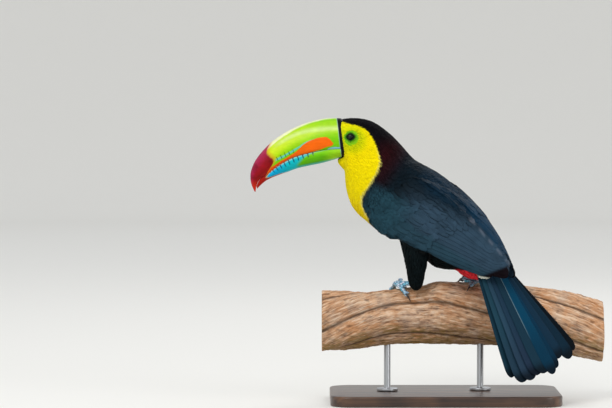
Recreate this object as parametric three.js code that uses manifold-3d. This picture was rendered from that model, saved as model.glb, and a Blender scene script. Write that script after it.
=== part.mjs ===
// A life-size museum model of a keel-billed toucan on a cut length of liana, on a plain stand.
// Millimetres, +Z up. The origin is the centre of the stand base's underside. The bill points
// along -X, the perch runs along X, and -Y is the side on which the tail hangs.
import * as THREE from "three";
import { mergeVertices } from "three/addons/utils/BufferGeometryUtils.js";
import Module from "manifold-3d";

const wasm = await Module();
wasm.setup();

// ---------- driving dimensions ----------

const GAP = 0.35; // clearance between neighbouring solids
const SIMPLIFY = 0.14; // how far a surface may move when its flattest facets are joined
const STATION_STEP = 0.02; // for directions and searches along a row of stations

// How many facets each kind of swept solid has around and along it.
const FACETS = {
  body: [24, 30],
  upperBill: [14, 16],
  lowerBill: [14, 12],
  chin: [10, 5],
  wingShell: [20, 13],
  tail: [8, 40],
  coverts: [10, 7],
  perch: [23, 17],
  thigh: [10, 6],
  shank: [7, 4],
  toe: [6, 6],
  claw: [5, 4],
};

// Seen from above, the trunk's midplane passes through this point and is turned by this much.
const TRUNK = { x: 6, y: -8, yaw: 24 };

// The body from bill to tail root. Each pair of points spans one cross-section: the crown or
// back above, the throat or belly below, with half its width and its turn about Z.
const BODY = [
  { top: [-110.5, 344.6], low: [-105.0, 297.0], half: 19.0, yaw: 0 }, // bill base
  { top: [-97.0, 346.1], low: [-103.5, 284.0], half: 22.5, yaw: 0 }, // eye
  { top: [-83.0, 345.5], low: [-103.0, 271.5], half: 24.5, yaw: 1 }, // ear coverts
  { top: [-69.0, 341.6], low: [-101.5, 258.5], half: 25.5, yaw: 4 }, // back of the crown
  { top: [-57.0, 333.8], low: [-98.0, 246.5], half: 27.5, yaw: 9 }, // nape
  { top: [-45.0, 323.6], low: [-93.0, 236.5], half: 30.5, yaw: 14 }, // neck
  { top: [-34.0, 311.0], low: [-84.5, 227.0], half: 34.5, yaw: 19 }, // neck root
  { top: [-21.5, 296.0], low: [-72.5, 218.0], half: 39.0, yaw: 23 }, // shoulders
  { top: [-2.0, 285.5], low: [-54.5, 204.5], half: 42.0, yaw: TRUNK.yaw }, // breast
  { top: [17.0, 272.5], low: [-34.5, 199.0], half: 43.5, yaw: TRUNK.yaw }, // mantle
  { top: [34.5, 256.0], low: [-12.0, 184.0], half: 42.0, yaw: TRUNK.yaw }, // belly
  { top: [48.5, 239.0], low: [8.5, 164.5], half: 38.0, yaw: TRUNK.yaw }, // flanks
  { top: [60.0, 222.5], low: [33.0, 162.5], half: 31.5, yaw: TRUNK.yaw }, // rump
  { top: [68.5, 206.5], low: [51.0, 159.0], half: 24.0, yaw: TRUNK.yaw }, // vent
  { top: [75.5, 192.5], low: [63.5, 160.5], half: 17.0, yaw: TRUNK.yaw }, // tail root
  { top: [80.0, 184.0], low: [71.5, 164.0], half: 11.0, yaw: TRUNK.yaw },
];
const HEAD_ENDS_AT = 3.6; // station numbers where the body is parted
const NECK_ENDS_AT = 6.6;
const BODY_ROUNDNESS = 0.92; // below 1 a section is fuller than an ellipse

// The bill: culmen, cutting edge and gonys points from the base to the hook, with half widths.
const BILL = [
  { culmen: [-111.0, 346.1], edge: [-106.8, 308.8], gonys: [-105.7, 299.0], half: 18.5 },
  { culmen: [-127.0, 345.8], edge: [-122.0, 308.2], gonys: [-119.6, 294.4], half: 18.2 },
  { culmen: [-144.0, 342.3], edge: [-136.6, 305.8], gonys: [-133.0, 290.8], half: 17.2 },
  { culmen: [-160.3, 336.6], edge: [-151.3, 302.6], gonys: [-147.6, 287.8], half: 15.8 },
  { culmen: [-176.7, 328.4], edge: [-165.9, 298.3], gonys: [-161.0, 284.8], half: 14.1 },
  { culmen: [-191.5, 318.4], edge: [-178.7, 291.8], gonys: [-173.2, 280.4], half: 12.2 },
  { culmen: [-204.3, 306.2], edge: [-189.7, 284.3], gonys: [-184.2, 276.6], half: 10.2 },
  { culmen: [-213.7, 293.8], edge: [-198.9, 276.6], gonys: [-193.9, 272.7], half: 8.0 },
  { culmen: [-218.7, 281.8], edge: [-206.2, 272.4], gonys: [-201.0, 268.8], half: 5.9 },
  { culmen: [-219.6, 272.7], edge: [-210.1, 267.7], gonys: [-206.6, 264.2], half: 4.2 },
  { culmen: [-218.2, 264.6], edge: [-212.1, 262.4], gonys: [-211.4, 259.2], half: 2.6 },
  { culmen: [-214.2, 255.4], edge: [-213.2, 255.8], half: 0.7 },
];
const LOWER_BILL_WIDTH = 0.97; // of the upper mandible's
const BILL_BULGE = 0.06; // how much a mandible's sides swell, as a share of its width

// The chin's feathers reach forward under the lower mandible: points with half widths.
const CHIN = [
  { at: [-88, 284], half: [14, 10] },
  { at: [-100, 290], half: [13, 8.5] },
  { at: [-106, 294.5], half: [11, 7] },
  { at: [-110.5, 298], half: [7, 5] },
];

// The eye's centre in side view, its radius and how deep its centre lies in the head's side.
const EYE = { x: -96.6, z: 322.9, radius: 5.6, sunk: 4.5 };

// The folded wings are parts of one arched shell, given station by station as the body is.
const WING_SHELL = [
  { top: [-48.0, 268.0], low: [-84.0, 232.0], half: 22.0 },
  { top: [-30.0, 289.0], low: [-80.0, 208.0], half: 38.0 },
  { top: [-7.5, 287.0], low: [-62.0, 190.0], half: 45.5 },
  { top: [14.5, 275.5], low: [-41.0, 180.0], half: 48.5 },
  { top: [33.0, 260.0], low: [-15.0, 166.0], half: 47.5 },
  { top: [51.0, 242.0], low: [12.0, 153.0], half: 43.5 },
  { top: [66.5, 223.0], low: [38.0, 143.0], half: 36.5 },
  { top: [80.0, 202.5], low: [64.0, 142.0], half: 28.0 },
  { top: [91.0, 181.5], low: [84.5, 140.0], half: 17.5 },
  { top: [99.5, 163.0], low: [97.0, 136.0], half: 10.5 },
  { top: [107.0, 147.0], low: [107.0, 132.0], half: 6.5 },
];
const WING_ROUNDNESS = 0.8;
const WING_THICK = 4.2;
const WING_FROM_MIDPLANE = 0.6; // the folded wings all but meet over the back

// The folded wing's outline in side view, from the wrist round by the lower edge and the tip.
const WING_OUTLINE = [
  [-74.5, 228.0],
  [-71.5, 219.0],
  [-61.5, 208.5],
  [-48.0, 201.5],
  [-34.0, 200.0],
  [-12.0, 189.0],
  [12.0, 175.5],
  [36.5, 164.0],
  [58.5, 157.5],
  [76.0, 154.5],
  [88.0, 152.0],
  [94.0, 154.5],
  [96.0, 164.0],
  [93.0, 180.0],
  [83.0, 202.0],
  [69.0, 224.0],
  [50.0, 243.0],
  [26.0, 258.0],
  [-2.0, 270.0],
  [-26.0, 276.0],
  [-47.0, 266.0],
  [-64.0, 249.0],
];
const WING_OUTLINE_SIDES = 36;

// The tail fan hangs from the trunk's midplane.
const TAIL = {
  root: { x: 62.5, z: 184.0 },
  along: [0.46, -0.24, -0.856],
  twist: 34, // degrees that the fan is rolled towards -Y
  lengths: [155, 169, 169, 164, 168, 171, 166, 161, 164, 162], // of its feathers, from the left
  fan: [11.9, 12.8], // degrees that the fan opens to the left and to the right
  rootHalf: [18, 12], // half of its width at the root, to each side
  split: { after: 7, splay: 2, deep: 12, width: 0.5 }, // past it each feather turns 2 degrees more
  scallop: 4, // depth of the dips between the round feather ends
  roof: 9, // how much lower the fan's edges lie at the tip
  thick: 2.2,
};

// The soft feathers under and over the tail's root, with half widths. Points with "tail" are
// measured in the fan: along it, to the bird's right and up from it.
const UNDERTAIL = [
  { at: [34, -22, 170], half: [9, 5] },
  { at: [48, -27, 162.5], half: [14, 9] },
  { tail: [26, -3, -7.5], half: [13, 6.5] },
  { tail: [39, -2, -5], half: [9, 3.8] },
  { tail: [50, -1, -2.5], half: [3, 1] },
];
const UPPERTAIL = [
  { tail: [-14, 0, 5], half: [10, 5] },
  { tail: [6, -4, 7], half: [15, 6] },
  { tail: [20, -14, 5], half: [14, 3.8] },
  { tail: [31.5, -19, 2.4], half: [9, 1] },
];

// The perch: points of its axis with the radius there.
const PERCH = [
  { at: [-132, -6.0, 98.0], radius: 38.3 },
  { at: [-88, -3.0, 100.5], radius: 36.0 },
  { at: [-50, -1.0, 104.0], radius: 34.3 },
  { at: [-12, 1.0, 106.8], radius: 35.8 },
  { at: [9, 2.5, 109.7], radius: 38.7 },
  { at: [36, 4.5, 109.2], radius: 38.5 },
  { at: [85, 9.0, 105.5], radius: 37.2 },
  { at: [134, 13.0, 99.5], radius: 38.2 },
  { at: [174, 15.5, 94.0], radius: 38.6 },
  { at: [212, 18.0, 86.0], radius: 38.0 },
];
const PERCH_DEPTH = 0.94; // its depth in Y as a share of its height
const FLUTES = { count: 5, deep: 5, middle: 0.8, crestX: -54, turn: 0.6, drift: 0.23, ease: 40 };
const SWELL = { height: 0.8, length: 60 }; // of the slow waves between the flutes

// The legs. A foot stands where its ball is: at an X on the perch and an angle from its top
// towards -Y. A toe's heading is measured on the bark from +X towards -Y.
const LEGS = [
  {
    side: "left",
    ball: { x: -41.5, angle: 0.28 },
    heel: [-13.5, -32, 146.5],
    thigh: [
      { at: [-11, -22, 212], half: [33, 20] },
      { at: [-15.5, -28, 190], half: [21.5, 17] },
      { at: [-18, -33, 168], half: [12.8, 12.5] },
      { at: [-18, -33, 153], half: [10.4, 10.2] },
      { at: [-18, -32, 144], half: [8.2, 8] },
      { at: [-18, -31, 138.5], half: [3.6, 3.6] },
    ],
    toes: [
      { heading: -8, length: 17, claw: 8 },
      { heading: -62, length: 22, claw: 9 },
      { heading: -100, length: 31, claw: 10 },
      { heading: 56, length: 21, claw: 9 },
    ],
  },
  {
    side: "right",
    ball: { x: 59, angle: 0.34 },
    heel: [72, -11, 181],
    thigh: [
      { at: [50, -8, 196], half: [14, 14] },
      { at: [60, -12, 184], half: [12, 12] },
      { at: [64, -10, 172], half: [10, 10] },
      { at: [64, -7, 163], half: [7.5, 7.5] },
      { at: [63, -4.5, 157], half: [4, 4] },
    ],
    toes: [
      { heading: 128, length: 16, claw: 8 },
      { heading: 172, length: 18, claw: 8 },
      { heading: -125, length: 30, claw: 10 },
      { heading: -60, length: 26, claw: 10 },
    ],
  },
];
const BALL_HEIGHT = 7; // the foot's arch stands this far above the bark
const SHANK_HALVES = [[3.9, 4.3], [3.2, 3.7], [3.2, 3.6], [4.2, 3.8]]; // from heel to ball
const TOE = {
  radii: [3.5, 3.3, 2.9, 3.1, 2.7, 2.9, 2.5, 2.3], // swelling at the joints
  height: 4.15, // of the toe's middle above the bark
  knuckle: 0.9, // how much higher it lies halfway
  arch: 2.6, // and where it leaves the ball of the foot
};
const CLAW = {
  halves: [[1.7, 2.1], [1.6, 2.0], [1.3, 1.6], [0.9, 1.1], [0.35, 0.4]],
  start: 0.8, // past the end of the toe's middle line
  height: 3.6,
  arch: 1.6,
  droop: 2.2,
};

const STAND = {
  width: 280,
  depth: 168,
  corner: 26,
  thick: 13,
  bevel: 2,
  centreX: 18, // the perch and bird balance over this X of their own
  rods: [
    { name: "stand_rod_left", x: -52 },
    { name: "stand_rod_right", x: 62 },
  ],
  rodRadius: 4,
  flangeRadius: 13,
  flangeThick: 3.5,
  edge: 1, // the rods' and flanges' small bevels
  intoPerch: 14,
};

const COLOUR = {
  black: 0x15191f,
  yellow: 0xf2df00,
  wing: 0x22303c,
  tail: 0x1c2c38,
  red: 0xe01b24,
  white: 0xe8ead8,
  bill: 0x9fd400,
  lowerBill: 0x8bcc10,
  eye: 0x0c1208,
  leg: 0x6fc3dc,
  claw: 0x1a1a1c,
  bark: 0x9c7a5c,
  walnut: 0x4a3224,
  steel: 0xb8babd,
};

// ---------- helpers ----------

const radians = THREE.MathUtils.degToRad;
const vec = (x, y, z) => new THREE.Vector3(x, y, z);
const signedPower = (value, power) => Math.sign(value) * Math.abs(value) ** power;

// A manifold-3d solid from a closed three.js geometry, turned outwards if it is inside out.
function solid(geometry) {
  const bare = geometry.clone();
  bare.deleteAttribute("normal");
  bare.deleteAttribute("uv");
  const merged = mergeVertices(bare, 1e-3);
  const vertProperties = new Float32Array(merged.attributes.position.array);
  const triVerts = new Uint32Array(merged.index.array);
  const make = () => new wasm.Manifold(new wasm.Mesh({ numProp: 3, vertProperties, triVerts }));
  const first = make();
  if (first.volume() > 0) return first;
  for (let i = 0; i < triVerts.length; i += 3) {
    [triVerts[i + 1], triVerts[i + 2]] = [triVerts[i + 2], triVerts[i + 1]];
  }
  return make();
}

// The biggest of a solid's separate bodies, for a cut that leaves slivers.
function largest(made) {
  return made.decompose().reduce((a, b) => (a.volume() > b.volume() ? a : b));
}

const group = new THREE.Group();

// Adds a solid to the model as a named mesh.
function addNode(name, made, color, roughness = 0.6, metalness = 0) {
  const mesh = largest(made.simplify(SIMPLIFY)).getMesh();
  const geometry = new THREE.BufferGeometry();
  geometry.setAttribute("position", new THREE.BufferAttribute(mesh.vertProperties, mesh.numProp));
  geometry.setIndex(new THREE.BufferAttribute(mesh.triVerts, 1));
  geometry.computeVertexNormals();
  const material = new THREE.MeshStandardMaterial({ color, roughness, metalness });
  const node = new THREE.Mesh(geometry, material);
  node.name = name;
  group.add(node);
}

// A closed solid on a sphere's grid. section(t) gives a function of the angle round the sweep,
// and the first and last sections are closed flat at their middles.
function sweep(section, [around, along]) {
  const geometry = new THREE.SphereGeometry(1, around, along + 2);
  const place = geometry.attributes.position;
  const uv = geometry.attributes.uv;
  const rings = along + 2;
  for (let i = 0; i < place.count; i++) {
    const ring = Math.round((1 - uv.getY(i)) * rings);
    const pointAt = section(THREE.MathUtils.clamp((ring - 1) / along, 0, 1));
    const p = vec(0, 0, 0);
    if (ring === 0 || ring === rings) {
      for (let k = 0; k < around; k++) p.add(pointAt((2 * Math.PI * k) / around));
      p.divideScalar(around);
    } else {
      const step = Math.round(uv.getX(i) * around) % around;
      p.copy(pointAt((2 * Math.PI * step) / around));
    }
    place.setXYZ(i, p.x, p.y, p.z);
  }
  return solid(geometry);
}

// A smooth curve through points, read by station number.
function rail(points) {
  const curve = new THREE.CatmullRomCurve3(points.map((p) => vec(...p)), false, "catmullrom", 0.5);
  return (station) => curve.getPoint(station / (points.length - 1));
}

// A tapering bar through points, with half widths across and up at each.
function bar(stations, acrossHint, facets, grow = 0) {
  const centre = rail(stations.map((s) => s.at));
  const halves = rail(stations.map((s) => [...s.half, 0]));
  const last = stations.length - 1;
  const hint = vec(...acrossHint);
  const section = (t) => {
    const here = centre(t * last);
    const half = halves(t * last);
    const before = centre(Math.max(t * last - STATION_STEP, 0));
    const ahead = centre(Math.min(t * last + STATION_STEP, last)).sub(before).normalize();
    const across = hint.clone().addScaledVector(ahead, -hint.dot(ahead)).normalize();
    const up = ahead.clone().cross(across);
    return (angle) =>
      here
        .clone()
        .addScaledVector(across, Math.cos(angle) * (half.x + grow))
        .addScaledVector(up, Math.sin(angle) * (half.y + grow));
  };
  return sweep(section, facets);
}

// ---------- the body ----------

const sideways = (yaw) => vec(Math.sin(radians(yaw)), Math.cos(radians(yaw)), 0);
const onMidplane = (x) => TRUNK.y - (x - TRUNK.x) * Math.tan(radians(TRUNK.yaw));
const middleX = (station) => (station.top[0] + station.low[0]) / 2;

// Where each section's middle lies, seen from above. The trunk's lie on its midplane, and the
// turn eases off towards the head.
function middlesOf(stations) {
  const places = [];
  for (let i = stations.length - 1; i >= 0; i--) {
    const x = middleX(stations[i]);
    const turn = (stations[i].yaw + (stations[i + 1]?.yaw ?? TRUNK.yaw)) / 2;
    const behind = places[i + 1];
    const inTrunk = stations[i].yaw === TRUNK.yaw;
    places[i] = { x, y: inTrunk ? onMidplane(x) : behind.y + (behind.x - x) * Math.tan(radians(turn)) };
  }
  return places;
}

// Smooth lines along a body-like shape: its top, its low line, and its half width with its turn.
function linesOf(stations) {
  const middles = middlesOf(stations);
  const inPlace = ([x, z], i) => {
    const slope = Math.tan(radians(stations[i].yaw));
    return [x, middles[i].y - (x - middles[i].x) * slope, z];
  };
  return {
    top: rail(stations.map((s, i) => inPlace(s.top, i))),
    low: rail(stations.map((s, i) => inPlace(s.low, i))),
    shape: rail(stations.map((s) => [s.half, s.yaw, 0])),
    last: stations.length - 1,
  };
}

// The section of such a shape at a station, grown outwards by some millimetres.
function sectionOf(lines, station, roundness, grow = 0) {
  const top = lines.top(station);
  const low = lines.low(station);
  const shape = lines.shape(station);
  const side = sideways(shape.y);
  const centre = low.clone().lerp(top, 0.5);
  const up = top.sub(centre);
  up.setLength(up.length() + grow);
  return (angle) =>
    centre
      .clone()
      .addScaledVector(side, signedPower(Math.cos(angle), roundness) * (shape.x + grow))
      .addScaledVector(up, signedPower(Math.sin(angle), roundness));
}

const bodyLines = linesOf(BODY);
const bodySection = (station, grow) => sectionOf(bodyLines, station, BODY_ROUNDNESS, grow);
const bodySolid = (grow = 0) =>
  sweep((t) => bodySection(t * bodyLines.last, grow), FACETS.body);
const headY = middlesOf(BODY)[0].y;

// What is left of a solid ahead of or behind a section's plane, drawn back by half the gap.
function trimAt(made, station, behind) {
  const top = bodyLines.top(station);
  const spine = top.clone().sub(bodyLines.low(station));
  const normal = spine.cross(sideways(bodyLines.shape(station).y)).normalize();
  if (normal.x > 0 !== behind) normal.negate();
  return made.trimByPlane(normal.toArray(), normal.dot(top) + GAP / 2);
}

// ---------- the bill ----------

// One mandible from its ridge and its cutting edge, which is drawn back by half the gap.
function mandible(key, stations, widthShare, roundness, facets, grow = 0) {
  const ridge = rail(stations.map((s) => [s[key][0], headY, s[key][1]]));
  const edge = rail(stations.map((s) => [s.edge[0], headY, s.edge[1]]));
  const half = rail(stations.map((s) => [s.half * widthShare, 0, 0]));
  const last = stations.length - 1;
  const section = (t) => {
    const start = edge(t * last);
    const up = ridge(t * last).sub(start);
    const width = half(t * last).x + grow;
    const drawnBack = Math.min(GAP / 2, up.length() / 4) - grow;
    start.addScaledVector(up.clone().normalize(), drawnBack);
    up.setLength(up.length() - drawnBack + grow);
    return (angle) => {
      // The upper half circle is the horn's side, and the lower one is pressed flat.
      const rise = Math.max(Math.sin(angle), 0) ** roundness;
      const bulge = 1 + BILL_BULGE * Math.sin(Math.PI * Math.min(rise * 1.6, 1));
      const across = signedPower(Math.cos(angle), 0.8) * width * bulge;
      return start.clone().addScaledVector(up, rise).add(vec(0, across, 0));
    };
  };
  return sweep(section, facets);
}

const upperBill = () => mandible("culmen", BILL, 1, 0.82, FACETS.upperBill);
const lowerStations = BILL.filter((s) => s.gonys);
const lowerBill = (grow = 0) =>
  mandible("gonys", lowerStations, LOWER_BILL_WIDTH, 0.62, FACETS.lowerBill, grow);

function chinSolid() {
  const stations = CHIN.map(({ at: [x, z], half }) => ({ at: [x, headY, z], half }));
  return bar(stations, [0, 1, 0], FACETS.chin).subtract(lowerBill(GAP));
}

// ---------- the eyes ----------

// Half the head's width at a place in side view, found by stepping over its surface.
function headHalfWidthAt(x, z) {
  let best = { distance: Infinity };
  for (let station = 0; station < HEAD_ENDS_AT; station += STATION_STEP) {
    const pointAt = bodySection(station);
    for (let angle = -Math.PI / 2; angle < Math.PI / 2; angle += STATION_STEP) {
      const p = pointAt(angle);
      const distance = Math.hypot(p.x - x, p.z - z);
      if (distance < best.distance) best = { distance, width: p.y - headY };
    }
  }
  return best.width;
}

const eyeSide = headHalfWidthAt(EYE.x, EYE.z) - EYE.sunk;

function eyeSolid(sign, grow = 0) {
  const ball = new THREE.SphereGeometry(EYE.radius + grow, 10, 6);
  ball.rotateX(Math.PI / 2);
  ball.translate(EYE.x, headY + sign * eyeSide, EYE.z);
  return solid(ball);
}

// ---------- the wings ----------

const shellLines = linesOf(WING_SHELL.map((s) => ({ ...s, yaw: TRUNK.yaw })));
const shellSection = (t, grow) => sectionOf(shellLines, t * shellLines.last, WING_ROUNDNESS, grow);
const shellSolid = (grow) => sweep((t) => shellSection(t, grow), FACETS.wingShell);

const rightwards = sideways(TRUNK.yaw); // the bird's right, square to the trunk's midplane
const midplaneOffset = rightwards.dot(vec(TRUNK.x, TRUNK.y, 0));

// A block with an outline given in side view, deep enough to take in the whole bird.
function outlineBlock(outline) {
  const deep = 300;
  const points = outline.map(([x, z]) => vec(x, z, 0));
  const closed = new THREE.CatmullRomCurve3(points, true, "catmullrom", 0.5);
  const shape = new THREE.Shape(closed.getPoints(WING_OUTLINE_SIDES).slice(0, -1));
  const block = new THREE.ExtrudeGeometry(shape, { depth: deep, bevelEnabled: false });
  block.rotateX(Math.PI / 2);
  block.translate(0, deep / 2, 0);
  return solid(block);
}

function leftWingSolid(bodyGrown, grow = 0) {
  const leftwards = rightwards.clone().negate().toArray();
  return largest(
    shellSolid(grow)
      .subtract(shellSolid(-WING_THICK - grow))
      .intersect(outlineBlock(WING_OUTLINE))
      .trimByPlane(leftwards, WING_FROM_MIDPLANE - grow - midplaneOffset)
      .subtract(bodyGrown),
  );
}

// Mirrors a solid in the trunk's midplane.
function mirrored(made) {
  const onPlane = rightwards.clone().multiplyScalar(midplaneOffset);
  return made
    .translate(onPlane.clone().negate().toArray())
    .mirror(rightwards.toArray())
    .translate(onPlane.toArray());
}

// ---------- the tail ----------

const tailRoot = vec(TAIL.root.x, onMidplane(TAIL.root.x), TAIL.root.z);
const tailAlong = vec(...TAIL.along).normalize();
const tailSide = rightwards
  .clone()
  .addScaledVector(tailAlong, -rightwards.dot(tailAlong))
  .normalize()
  .applyAxisAngle(tailAlong, radians(TAIL.twist));
const tailUp = tailAlong.clone().cross(tailSide);
const tailLengths = rail(TAIL.lengths.map((length) => [length, 0, 0]));

// The fan is swept from its left edge to its right one. Its sections run down the feathers, whose
// round ends scallop the outline.
function tailSection(share, grow) {
  const side = 2 * share - 1;
  const feather = share * TAIL.lengths.length;
  const offCentre = 2 * (feather % 1 || 1) - 1;
  const pastSplit = feather - TAIL.split.after;
  const splayed = TAIL.split.splay * Math.max(pastSplit, 0);
  const nearSplit = Math.max(1 - Math.abs(pastSplit) / TAIL.split.width, 0);
  const angle = radians(side * THREE.MathUtils.lerp(...TAIL.fan, share) + splayed);
  const along = tailAlong.clone().applyAxisAngle(tailUp, angle);
  const whole = tailLengths(THREE.MathUtils.clamp(feather - 0.5, 0, TAIL.lengths.length - 1)).x;
  const length = whole - TAIL.scallop * offCentre ** 2 - TAIL.split.deep * nearSplit;
  return (turn) => {
    const run = (1 - Math.cos(turn)) / 2;
    const lift = signedPower(Math.sin(turn), 0.4) * (TAIL.thick / 2 + grow);
    return tailRoot
      .clone()
      .addScaledVector(tailSide, side * (THREE.MathUtils.lerp(...TAIL.rootHalf, share) + grow))
      .addScaledVector(along, run * (length + grow))
      .addScaledVector(tailUp, lift - TAIL.roof * run * side ** 2);
  };
}

const tailSolid = (grow = 0) => sweep((t) => tailSection(t, grow), FACETS.tail);

const inFan = ([along, side, up]) =>
  tailRoot
    .clone()
    .addScaledVector(tailAlong, along)
    .addScaledVector(tailSide, side)
    .addScaledVector(tailUp, up)
    .toArray();

function covertsSolid(stations) {
  const placed = stations.map(({ at, tail, half }) => ({ at: at ?? inFan(tail), half }));
  return bar(placed, tailSide.toArray(), FACETS.coverts);
}

// ---------- the perch ----------

const perchAxis = rail(PERCH.map((s) => s.at));
const perchRadius = rail(PERCH.map((s) => [s.radius, 0, 0]));
const perchLast = PERCH.length - 1;

// The station of the perch's axis at a given X, by halving.
function perchStationAt(x) {
  let [low, high] = [0, perchLast];
  for (let i = 0; i < 40; i++) {
    const middle = (low + high) / 2;
    if (perchAxis(middle).x < x) low = middle;
    else high = middle;
  }
  return (low + high) / 2;
}

// How far the flutes have turned at X: they climb from the left end, crest and sink again.
function fluteTurn(x) {
  const past = x - FLUTES.crestX;
  return radians(FLUTES.drift * past - FLUTES.turn * Math.hypot(past, FLUTES.ease));
}

// A point on the bark at a station, with the angle from straight up towards -Y.
function barkPoint(station, angle, lift = 0) {
  const centre = perchAxis(station);
  const flute = Math.abs(Math.cos((FLUTES.count * (angle + fluteTurn(centre.x))) / 2));
  const swell = SWELL.height * Math.sin(2 * angle + centre.x / SWELL.length);
  const r = perchRadius(station).x + FLUTES.deep * (flute - FLUTES.middle) + swell + lift;
  return centre.add(vec(0, -Math.sin(angle) * r * PERCH_DEPTH, Math.cos(angle) * r));
}

const perchSolid = (grow = 0) =>
  sweep((t) => (angle) => barkPoint(t * perchLast, angle, grow), FACETS.perch);

// ---------- legs and feet ----------

// A point above the bark, reached by running from the ball of a foot in a toe's heading.
function toePoint(ball, heading, run, height) {
  const station = perchStationAt(ball.x + run * Math.cos(radians(heading)));
  const turn = (run * Math.sin(radians(heading))) / perchRadius(station).x;
  return barkPoint(station, ball.angle + turn, height).toArray();
}

const TOE_HINT = [0.3, 0.2, 1]; // a toe's width is measured roughly this way

function toeSolid(ball, { heading, length }, grow) {
  const last = TOE.radii.length - 1;
  const stations = TOE.radii.map((radius, i) => {
    const share = i / last;
    const height = TOE.height + TOE.knuckle * Math.sin(Math.PI * share) + TOE.arch * (1 - share) ** 2;
    return { at: toePoint(ball, heading, length * share, height), half: [radius, radius] };
  });
  return bar(stations, TOE_HINT, FACETS.toe, grow);
}

// A claw grows out of the toe's end, arches over and comes down to the bark.
function clawSolid(ball, { heading, length, claw }) {
  const last = CLAW.halves.length - 1;
  const stations = CLAW.halves.map((half, i) => {
    const share = i / last;
    const height = CLAW.height + CLAW.arch * Math.sin(Math.PI * share) - CLAW.droop * share ** 2;
    return { at: toePoint(ball, heading, length + CLAW.start + claw * share, height), half };
  });
  return bar(stations, TOE_HINT, FACETS.claw);
}

// The shank and its four toes are one piece, as on the bird.
function footSolid({ ball, heel, toes }, grow = 0) {
  const from = vec(...heel);
  const to = barkPoint(perchStationAt(ball.x), ball.angle, BALL_HEIGHT);
  const stations = SHANK_HALVES.map((half, i) => ({
    at: from.clone().lerp(to, i / (SHANK_HALVES.length - 1)).toArray(),
    half,
  }));
  const shank = bar(stations, TOE_HINT, FACETS.shank, grow);
  return toes.reduce((made, spec) => made.add(toeSolid(ball, spec, grow)), shank);
}

// ---------- the stand ----------

function baseSolid() {
  const { width, depth, corner, bevel } = STAND;
  const [w, d, r] = [width / 2 - bevel, depth / 2 - bevel, corner];
  const shape = new THREE.Shape();
  shape.absarc(w - r, -d + r, r, -Math.PI / 2, 0, false);
  shape.absarc(w - r, d - r, r, 0, Math.PI / 2, false);
  shape.absarc(-w + r, d - r, r, Math.PI / 2, Math.PI, false);
  shape.absarc(-w + r, -d + r, r, Math.PI, 1.5 * Math.PI, false);
  const plate = new THREE.ExtrudeGeometry(shape, {
    depth: STAND.thick - 2 * bevel,
    bevelThickness: bevel,
    bevelSize: bevel,
    bevelSegments: 1,
    curveSegments: 4,
  });
  plate.translate(STAND.centreX, 0, bevel);
  return solid(plate);
}

// A rod with a flange at its foot, let into the perch from below.
function rodSolid(x, grow = 0) {
  const station = perchStationAt(x);
  const axis = perchAxis(station);
  const top = axis.z - perchRadius(station).x + STAND.intoPerch + grow;
  const foot = STAND.thick + GAP;
  const flangeTop = foot + STAND.flangeThick;
  const r = STAND.rodRadius + grow;
  const profile = [
    [0, foot],
    [STAND.flangeRadius, foot],
    [STAND.flangeRadius, flangeTop - STAND.edge],
    [STAND.flangeRadius - STAND.edge, flangeTop],
    [r + STAND.edge, flangeTop],
    [r, flangeTop + STAND.edge],
    [r, top - STAND.edge],
    [r - STAND.edge, top],
    [0, top],
  ];
  const rod = new THREE.LatheGeometry(profile.map(([a, b]) => new THREE.Vector2(a, b)), 12);
  rod.rotateX(Math.PI / 2);
  rod.translate(x, axis.y, 0);
  return solid(rod);
}

// ---------- putting it together ----------

const wholeBody = bodySolid();
const bodyGrown = bodySolid(GAP);
const leftWing = leftWingSolid(bodyGrown);
const leftWingGrown = leftWingSolid(bodyGrown, GAP);
const wingsGrown = leftWingGrown.add(mirrored(leftWingGrown));
const perchGrown = perchSolid(GAP);
const clearOfBody = (made) => made.subtract(bodyGrown).subtract(wingsGrown);

addNode("bill_upper", upperBill(), COLOUR.bill, 0.3);
addNode("bill_lower", lowerBill(), COLOUR.lowerBill, 0.3);

const head = trimAt(wholeBody, HEAD_ENDS_AT, false)
  .add(chinSolid())
  .subtract(eyeSolid(-1, GAP))
  .subtract(eyeSolid(1, GAP));
addNode("head", head, COLOUR.yellow);
addNode("eye_left", eyeSolid(-1), COLOUR.eye, 0.1);
addNode("eye_right", eyeSolid(1), COLOUR.eye, 0.1);

const behindHead = trimAt(wholeBody, HEAD_ENDS_AT, true);
addNode("neck", trimAt(behindHead, NECK_ENDS_AT, false), COLOUR.black);
addNode("trunk", trimAt(behindHead, NECK_ENDS_AT, true), COLOUR.black);
addNode("wing_left", leftWing, COLOUR.wing);
addNode("wing_right", mirrored(leftWing), COLOUR.wing);

addNode("tail", clearOfBody(tailSolid()), COLOUR.tail);
const clearOfTail = (made) => clearOfBody(made).subtract(tailSolid(GAP));
addNode("undertail_coverts", clearOfTail(covertsSolid(UNDERTAIL)), COLOUR.red);
addNode("uppertail_coverts", clearOfTail(covertsSolid(UPPERTAIL)), COLOUR.white);

for (const leg of LEGS) {
  const footGrown = footSolid(leg, GAP);
  const clearOfPerch = (made) => made.subtract(perchGrown);
  const thigh = clearOfBody(clearOfPerch(bar(leg.thigh, [1, 0, 0], FACETS.thigh)));
  addNode(`thigh_${leg.side}`, thigh.subtract(footGrown), COLOUR.black);
  addNode(`foot_${leg.side}`, clearOfBody(clearOfPerch(footSolid(leg))), COLOUR.leg, 0.5);
  leg.toes.forEach((spec, i) => {
    const claw = clearOfPerch(clawSolid(leg.ball, spec)).subtract(footGrown);
    addNode(`claw_${leg.side}_${i + 1}`, claw, COLOUR.claw, 0.4);
  });
}

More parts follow.
